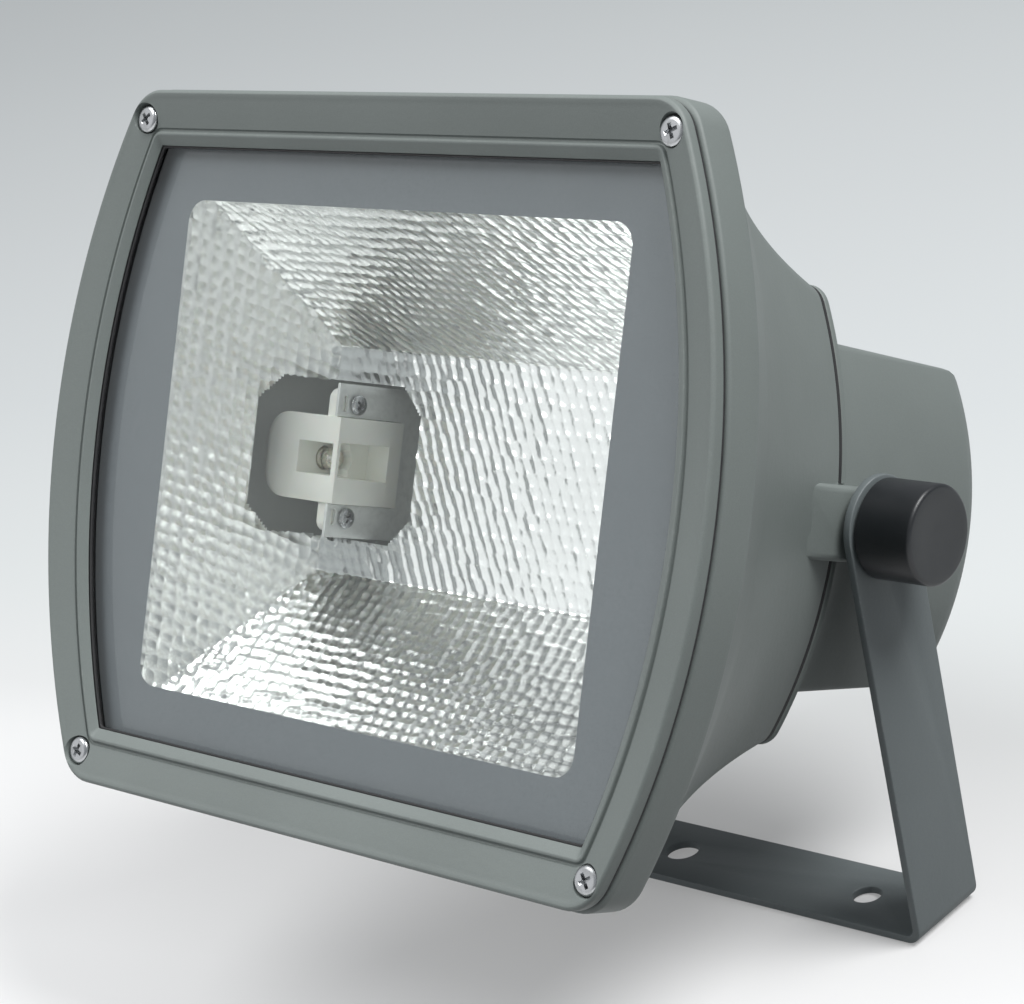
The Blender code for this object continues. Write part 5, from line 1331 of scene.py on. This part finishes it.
def make_lamp_contact(name, side):
    """The sprung plunger that presses on the lamp's end, with a domed tip."""
    tip = arc((CONTACT_TIP_LENGTH, 0), (CONTACT_TIP_LENGTH, CONTACT_RADIUS), HALF_TURN - CONTACT_TIP_FLAT,
              QUARTER_TURN)
    waist = [(CONTACT_LENGTH * along, CONTACT_RADIUS * size) for along, size in CONTACT_WAIST]
    outline = tip + waist + [(CONTACT_LENGTH, CONTACT_RADIUS)]
    profile = [(CONTACT_X + along, radius) for along, radius in outline]
    plunger = mirrored(turned("X", (CONTACT_Y, 0), profile, HOLE_STEPS), side)
    fitted(drawn(f"contact_plunger_{name}", plunger), "contact_brass", f"lamp_contact_{name}",
           body=f"contact_{name}")


# Screws

def cross_screw():
    """A pan head of radius 1 with a cross recess; its seat is at the origin and it faces +Z."""
    height = M5_HEAD_HEIGHT / M5_HEAD_RADIUS
    shank = M5_RADIUS / M5_HEAD_RADIUS
    side = [(-SHANK_SHOWN / M5_HEAD_RADIUS, shank), (0, shank), (0, PAN_SEAT_RADIUS), (PAN_SEAT_RISE, 1),
            (height * PAN_SIDE, 1)]
    dome = arc((height * PAN_SIDE, PAN_CROWN_RADIUS), (height * (1 - PAN_SIDE), 1 - PAN_CROWN_RADIUS),
               QUARTER_TURN - PAN_DOME_START, 0)
    crown = [(height * (1 + PAN_CROWN_RISE * (1 - share**2)), PAN_CROWN_RADIUS * share)
             for share in spread(0.75, 0.25, 2)]
    head = drawn("pan_head", turned("Z", (0, 0), side + dome + crown, HOLE_STEPS))
    floor = (height * CROSS_FLOOR, CROSS_FLOOR_HALF_WIDTH, CROSS_FLOOR_REACH)
    top = (height * CROSS_TOP, CROSS_HALF_WIDTH, PAN_CROWN_RADIUS)
    for crosswise in (False, True):
        rings = []
        for z, half, reach in (floor, top):
            corners = [(reach, -half), (reach, half), (-reach, half), (-reach, -half)]
            rings.append([(-b, a, z) if crosswise else (a, b, z) for a, b in corners])
        cut(head, loft(rings))
    return head


def make_screws(name, seats, nodes):
    """Cross-recessed screws at their seats, each a (place, facing, head radius), made as one piece."""
    mesh = mesh_of(name, [HEAD @ Vector(place) for place, _, _ in seats])
    turn_with_head = HEAD.to_3x3()
    facings = [turn_with_head @ Vector(facing) for _, facing, _ in seats]
    write_attribute(mesh, "facing", "FLOAT_VECTOR", facings)
    write_attribute(mesh, "radius", "FLOAT", [radius for _, _, radius in seats])
    screws = added(name, mesh)
    head = cross_screw()
    pattern = Pattern("screw_pattern", {"Material": ("Material", FINISHES["zinc_steel"]),
                                        "Screw": ("Object", head), "Largest turn": ("Float", HALF_TURN),
                                        "Seed": ("Int", SCREW_SEED)})
    upright = pattern.node("FunctionNodeAlignRotationToVector", {"axis": "Z"},
                           {"Vector": pattern.named("facing", "FLOAT_VECTOR")})
    angle = pattern.node("FunctionNodeRandomValue", {"data_type": "FLOAT"},
                         {"Max": pattern.given["Largest turn"], "Seed": pattern.given["Seed"]}, output=1)
    spin = pattern.node("FunctionNodeAxisAngleToRotation", {}, {"Axis": (0, 0, 1), "Angle": angle})
    turn = pattern.node("FunctionNodeRotateRotation", {"rotation_space": "LOCAL"},
                        {"Rotation": upright, "Rotate By": spin})
    screw = pattern.node("GeometryNodeObjectInfo", {}, {"Object": pattern.given["Screw"]}, output="Geometry")
    pattern.run(screws, pattern.node("GeometryNodeInstanceOnPoints", {}, {
        "Points": pattern.given["Geometry"], "Instance": screw, "Rotation": turn,
        "Scale": pattern.named("radius", "FLOAT")}))
    bpy.data.objects.remove(head)
    fitted(screws, "zinc_steel", *nodes, place=Matrix.Identity(4))


def make_all_screws():
    frame_seats = [((side * FRAME_SCREW_X, FRAME_SEAT - SEAT_GAP, level * FRAME_SCREW_Z), (0, -1, 0),
                    M5_HEAD_RADIUS) for side, level in CORNERS]
    cover_seats = [((side * COVER_SCREW_X, COVER_SCREW_SEAT + SEAT_GAP, level * COVER_SCREW_Z), (0, 1, 0),
                    M5_HEAD_RADIUS) for side, level in CORNERS]
    corner_names = ["top_left", "top_right", "bottom_left", "bottom_right"]
    make_screws("frame_and_cover_screws", frame_seats + cover_seats,
                [f"{part}_screw_{corner}" for part in ("frame", "cover") for corner in corner_names])
    holder_seats = [((side * (PLATE_X - SEAT_GAP), HOLDER_SCREW_Y, level * HOLDER_SCREW_Z), (-side, 0, 0),
                     M4_HEAD_RADIUS) for side in SIDES.values() for level in LEVELS]
    make_screws("lamp_holder_screws", holder_seats,
                [f"holder_screw_{name}_{level}" for name in SIDES for level in ("top", "bottom")])


# Bracket and knobs

def make_bracket():
    """One bent strip: round ends on its arms, and three holes in its base."""
    top = PIVOT.z + STRIP_WIDTH
    bend = (ARM_INNER_X - BEND_RADIUS, STRIP_THICKNESS + BEND_RADIUS)

    def skin(radius):
        right = arc(bend, radius, -QUARTER_TURN, 0) + [(bend[0] + radius, top)]
        return [(-x, z) for x, z in reversed(right)] + right

    half = STRIP_WIDTH / 2
    profile = skin(BEND_RADIUS) + skin(BEND_RADIUS + STRIP_THICKNESS)[::-1]
    strip = drawn("bracket_strip", prism("Y", profile, -half, half))
    side = half + OVERCUT
    above = arc((0, PIVOT.z), half, 0, HALF_TURN, ROUND_STEPS)
    above += [(-side, PIVOT.z), (-side, 2 * top), (side, 2 * top), (side, PIVOT.z)]
    across = (ARM_INNER_X - OVERCUT, ARM_OUTER_X + OVERCUT)
    through = (-OVERCUT, STRIP_THICKNESS + OVERCUT)
    cut(strip, both_sides(prism("X", above, *across)),
        both_sides(hole("X", (0, PIVOT.z), *across, STUD_RADIUS + SEAT_GAP)),
        hole("Z", (0, 0), *through, BASE_HOLE_RADIUS),
        both_sides(hole("Z", (SIDE_HOLE_X, 0), *through, SIDE_HOLE_RADIUS)))
    bevelled(strip, STRIP_EDGE)
    fitted(strip, "bracket_paint", "mounting_bracket", body="bracket", place=BASE)


def make_knob(name, side):
    """A smooth round knob with a softly dished face."""
    face_x = KNOB_INNER_X + KNOB_LENGTH
    bore_end = KNOB_INNER_X + KNOB_BORE_DEPTH + SEAT_GAP
    bore = STUD_RADIUS + SEAT_GAP
    recess = KNOB_WASHER_RADIUS + SEAT_GAP
    recess_floor = KNOB_INNER_X + KNOB_RECESS
    skirt = KNOB_ROUND / 4
    rim = arc((face_x - KNOB_ROUND, KNOB_RADIUS - KNOB_ROUND), KNOB_ROUND, QUARTER_TURN, 0)
    dish = [(face_x - KNOB_DISH * (1 - share**2), KNOB_FACE_RADIUS * share) for share in spread(1, 0.25, 3)]
    profile = [(bore_end, bore / 2), (bore_end, bore), (recess_floor, bore), (recess_floor, recess),
               (KNOB_INNER_X, recess), (KNOB_INNER_X, KNOB_RADIUS - skirt),
               (KNOB_INNER_X + skirt, KNOB_RADIUS)]
    knob = mirrored(turned("X", (0, 0), profile + rim + dish), side)
    fitted(drawn(f"clamping_knob_{name}", knob, KNOB_SMOOTH_BELOW), "black_plastic", f"knob_{name}",
           body=f"knob_{name}")


# Carried-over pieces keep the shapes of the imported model

def finish_carried_over():
    for part in frame["record"]["subparts"]:
        piece = frame["nodes"][part["node"]]
        if not piece.hide_render:
            piece.data.materials.clear()
            piece.data.materials.append(FINISHES[part["material_slot"]])


# Surroundings

def make_floor():
    """A pale floor that deepens to grey away from the camera."""
    half = FLOOR_HALF_WIDTH
    floor = grid_sheet("studio_floor", [[(x, y, 0) for x in spread(-half, half, 2)] for y in (-half, half)])
    floor.data.transform(Matrix.Translation((0, 0, -SEAT_GAP)))
    pale = Finish("studio_floor")
    headed = pale.node("Mapping", {}, {"Vector": pale.place(), "Rotation": (0, 0, -FLOOR_HEADING)})
    away = pale.contrast(pale.component(headed, "X"), *FLOOR_SPAN)
    colour = pale.node("ValToRGB", {"stops": FLOOR_STOPS}, {"Fac": away})
    floor.data.materials.append(pale.shaded(
        Base_Color=colour, Roughness=0.9, Specular_IOR_Level=0.1, Emission_Color=colour,
        Emission_Strength=FLOOR_GLOW))
    floor.visible_diffuse = False


def make_camera():
    """The camera that the photograph was taken from, turned with the head's frame into the scene."""
    azimuth, elevation, roll = CAMERA_AZIMUTH, CAMERA_ELEVATION, CAMERA_ROLL
    back = Vector((math.sin(azimuth) * math.cos(elevation), -math.cos(azimuth) * math.cos(elevation),
                   math.sin(elevation)))
    level = Vector((math.cos(azimuth), math.sin(azimuth), 0))
    upright = back.cross(level)
    right = math.cos(roll) * level + math.sin(roll) * upright
    up = math.cos(roll) * upright - math.sin(roll) * level
    place = (back * CAMERA_DISTANCE - right * CAMERA_SIDE - up * CAMERA_LIFT) * CAMERA_UNIT
    turn = Matrix((right, up, back)).transposed().to_4x4()
    data = bpy.data.cameras.new("camera")
    data.sensor_width = SENSOR_WIDTH
    data.lens = FOCAL_PIXELS / IMAGE_WIDTH * SENSOR_WIDTH
    camera = added("camera", data)
    camera.matrix_world = HEAD @ Matrix.Translation(place) @ turn
    bpy.context.scene.camera = camera


def make_light():
    """Soft studio light: a lamp on each side above, in a room that is dim below and palest in front."""
    room = Finish("studio", bpy.data.worlds)
    heading = room.node("TexCoord", output="Generated")
    height = room.contrast(room.component(heading, "Z"), -1, 1)
    walls = room.node("ValToRGB", {"stops": ROOM_STOPS}, {"Fac": height})
    towards = room.node("VectorMath", {"operation": "DOT_PRODUCT"}, {0: heading, 1: SCREEN_HEADING},
                        output="Value")
    colour = room.tint(room.contrast(towards, *SCREEN_SPAN), walls, SCREEN_COLOUR)
    light = room.node("Background", {}, {"Color": colour})
    bpy.context.scene.world = room.ended(light, "OutputWorld")
    for name, (place, size, power) in LAMPS.items():
        data = bpy.data.lights.new(name, "AREA")
        data.shape = "DISK"
        data.size = size
        data.energy = power
        lamp = added(name, data)
        lamp.location = place
        lamp.rotation_euler = (Vector(LAMP_AIM) - Vector(place)).to_track_quat("-Z", "Y").to_euler()
    bpy.context.scene.view_settings.view_transform = "Standard"


make_camera()
make_front_frame()
make_gaskets()
make_glass()
make_housing()
make_rear_cover()
make_gland()
make_reflector()
for side_name, side_sign in SIDES.items():
    make_lamp_holder(side_name, side_sign)
    make_holder_bracket(side_name, side_sign)
    make_lamp_contact(side_name, side_sign)
    make_knob(side_name, side_sign)
make_all_screws()
make_bracket()
finish_carried_over()
make_floor()
make_light()
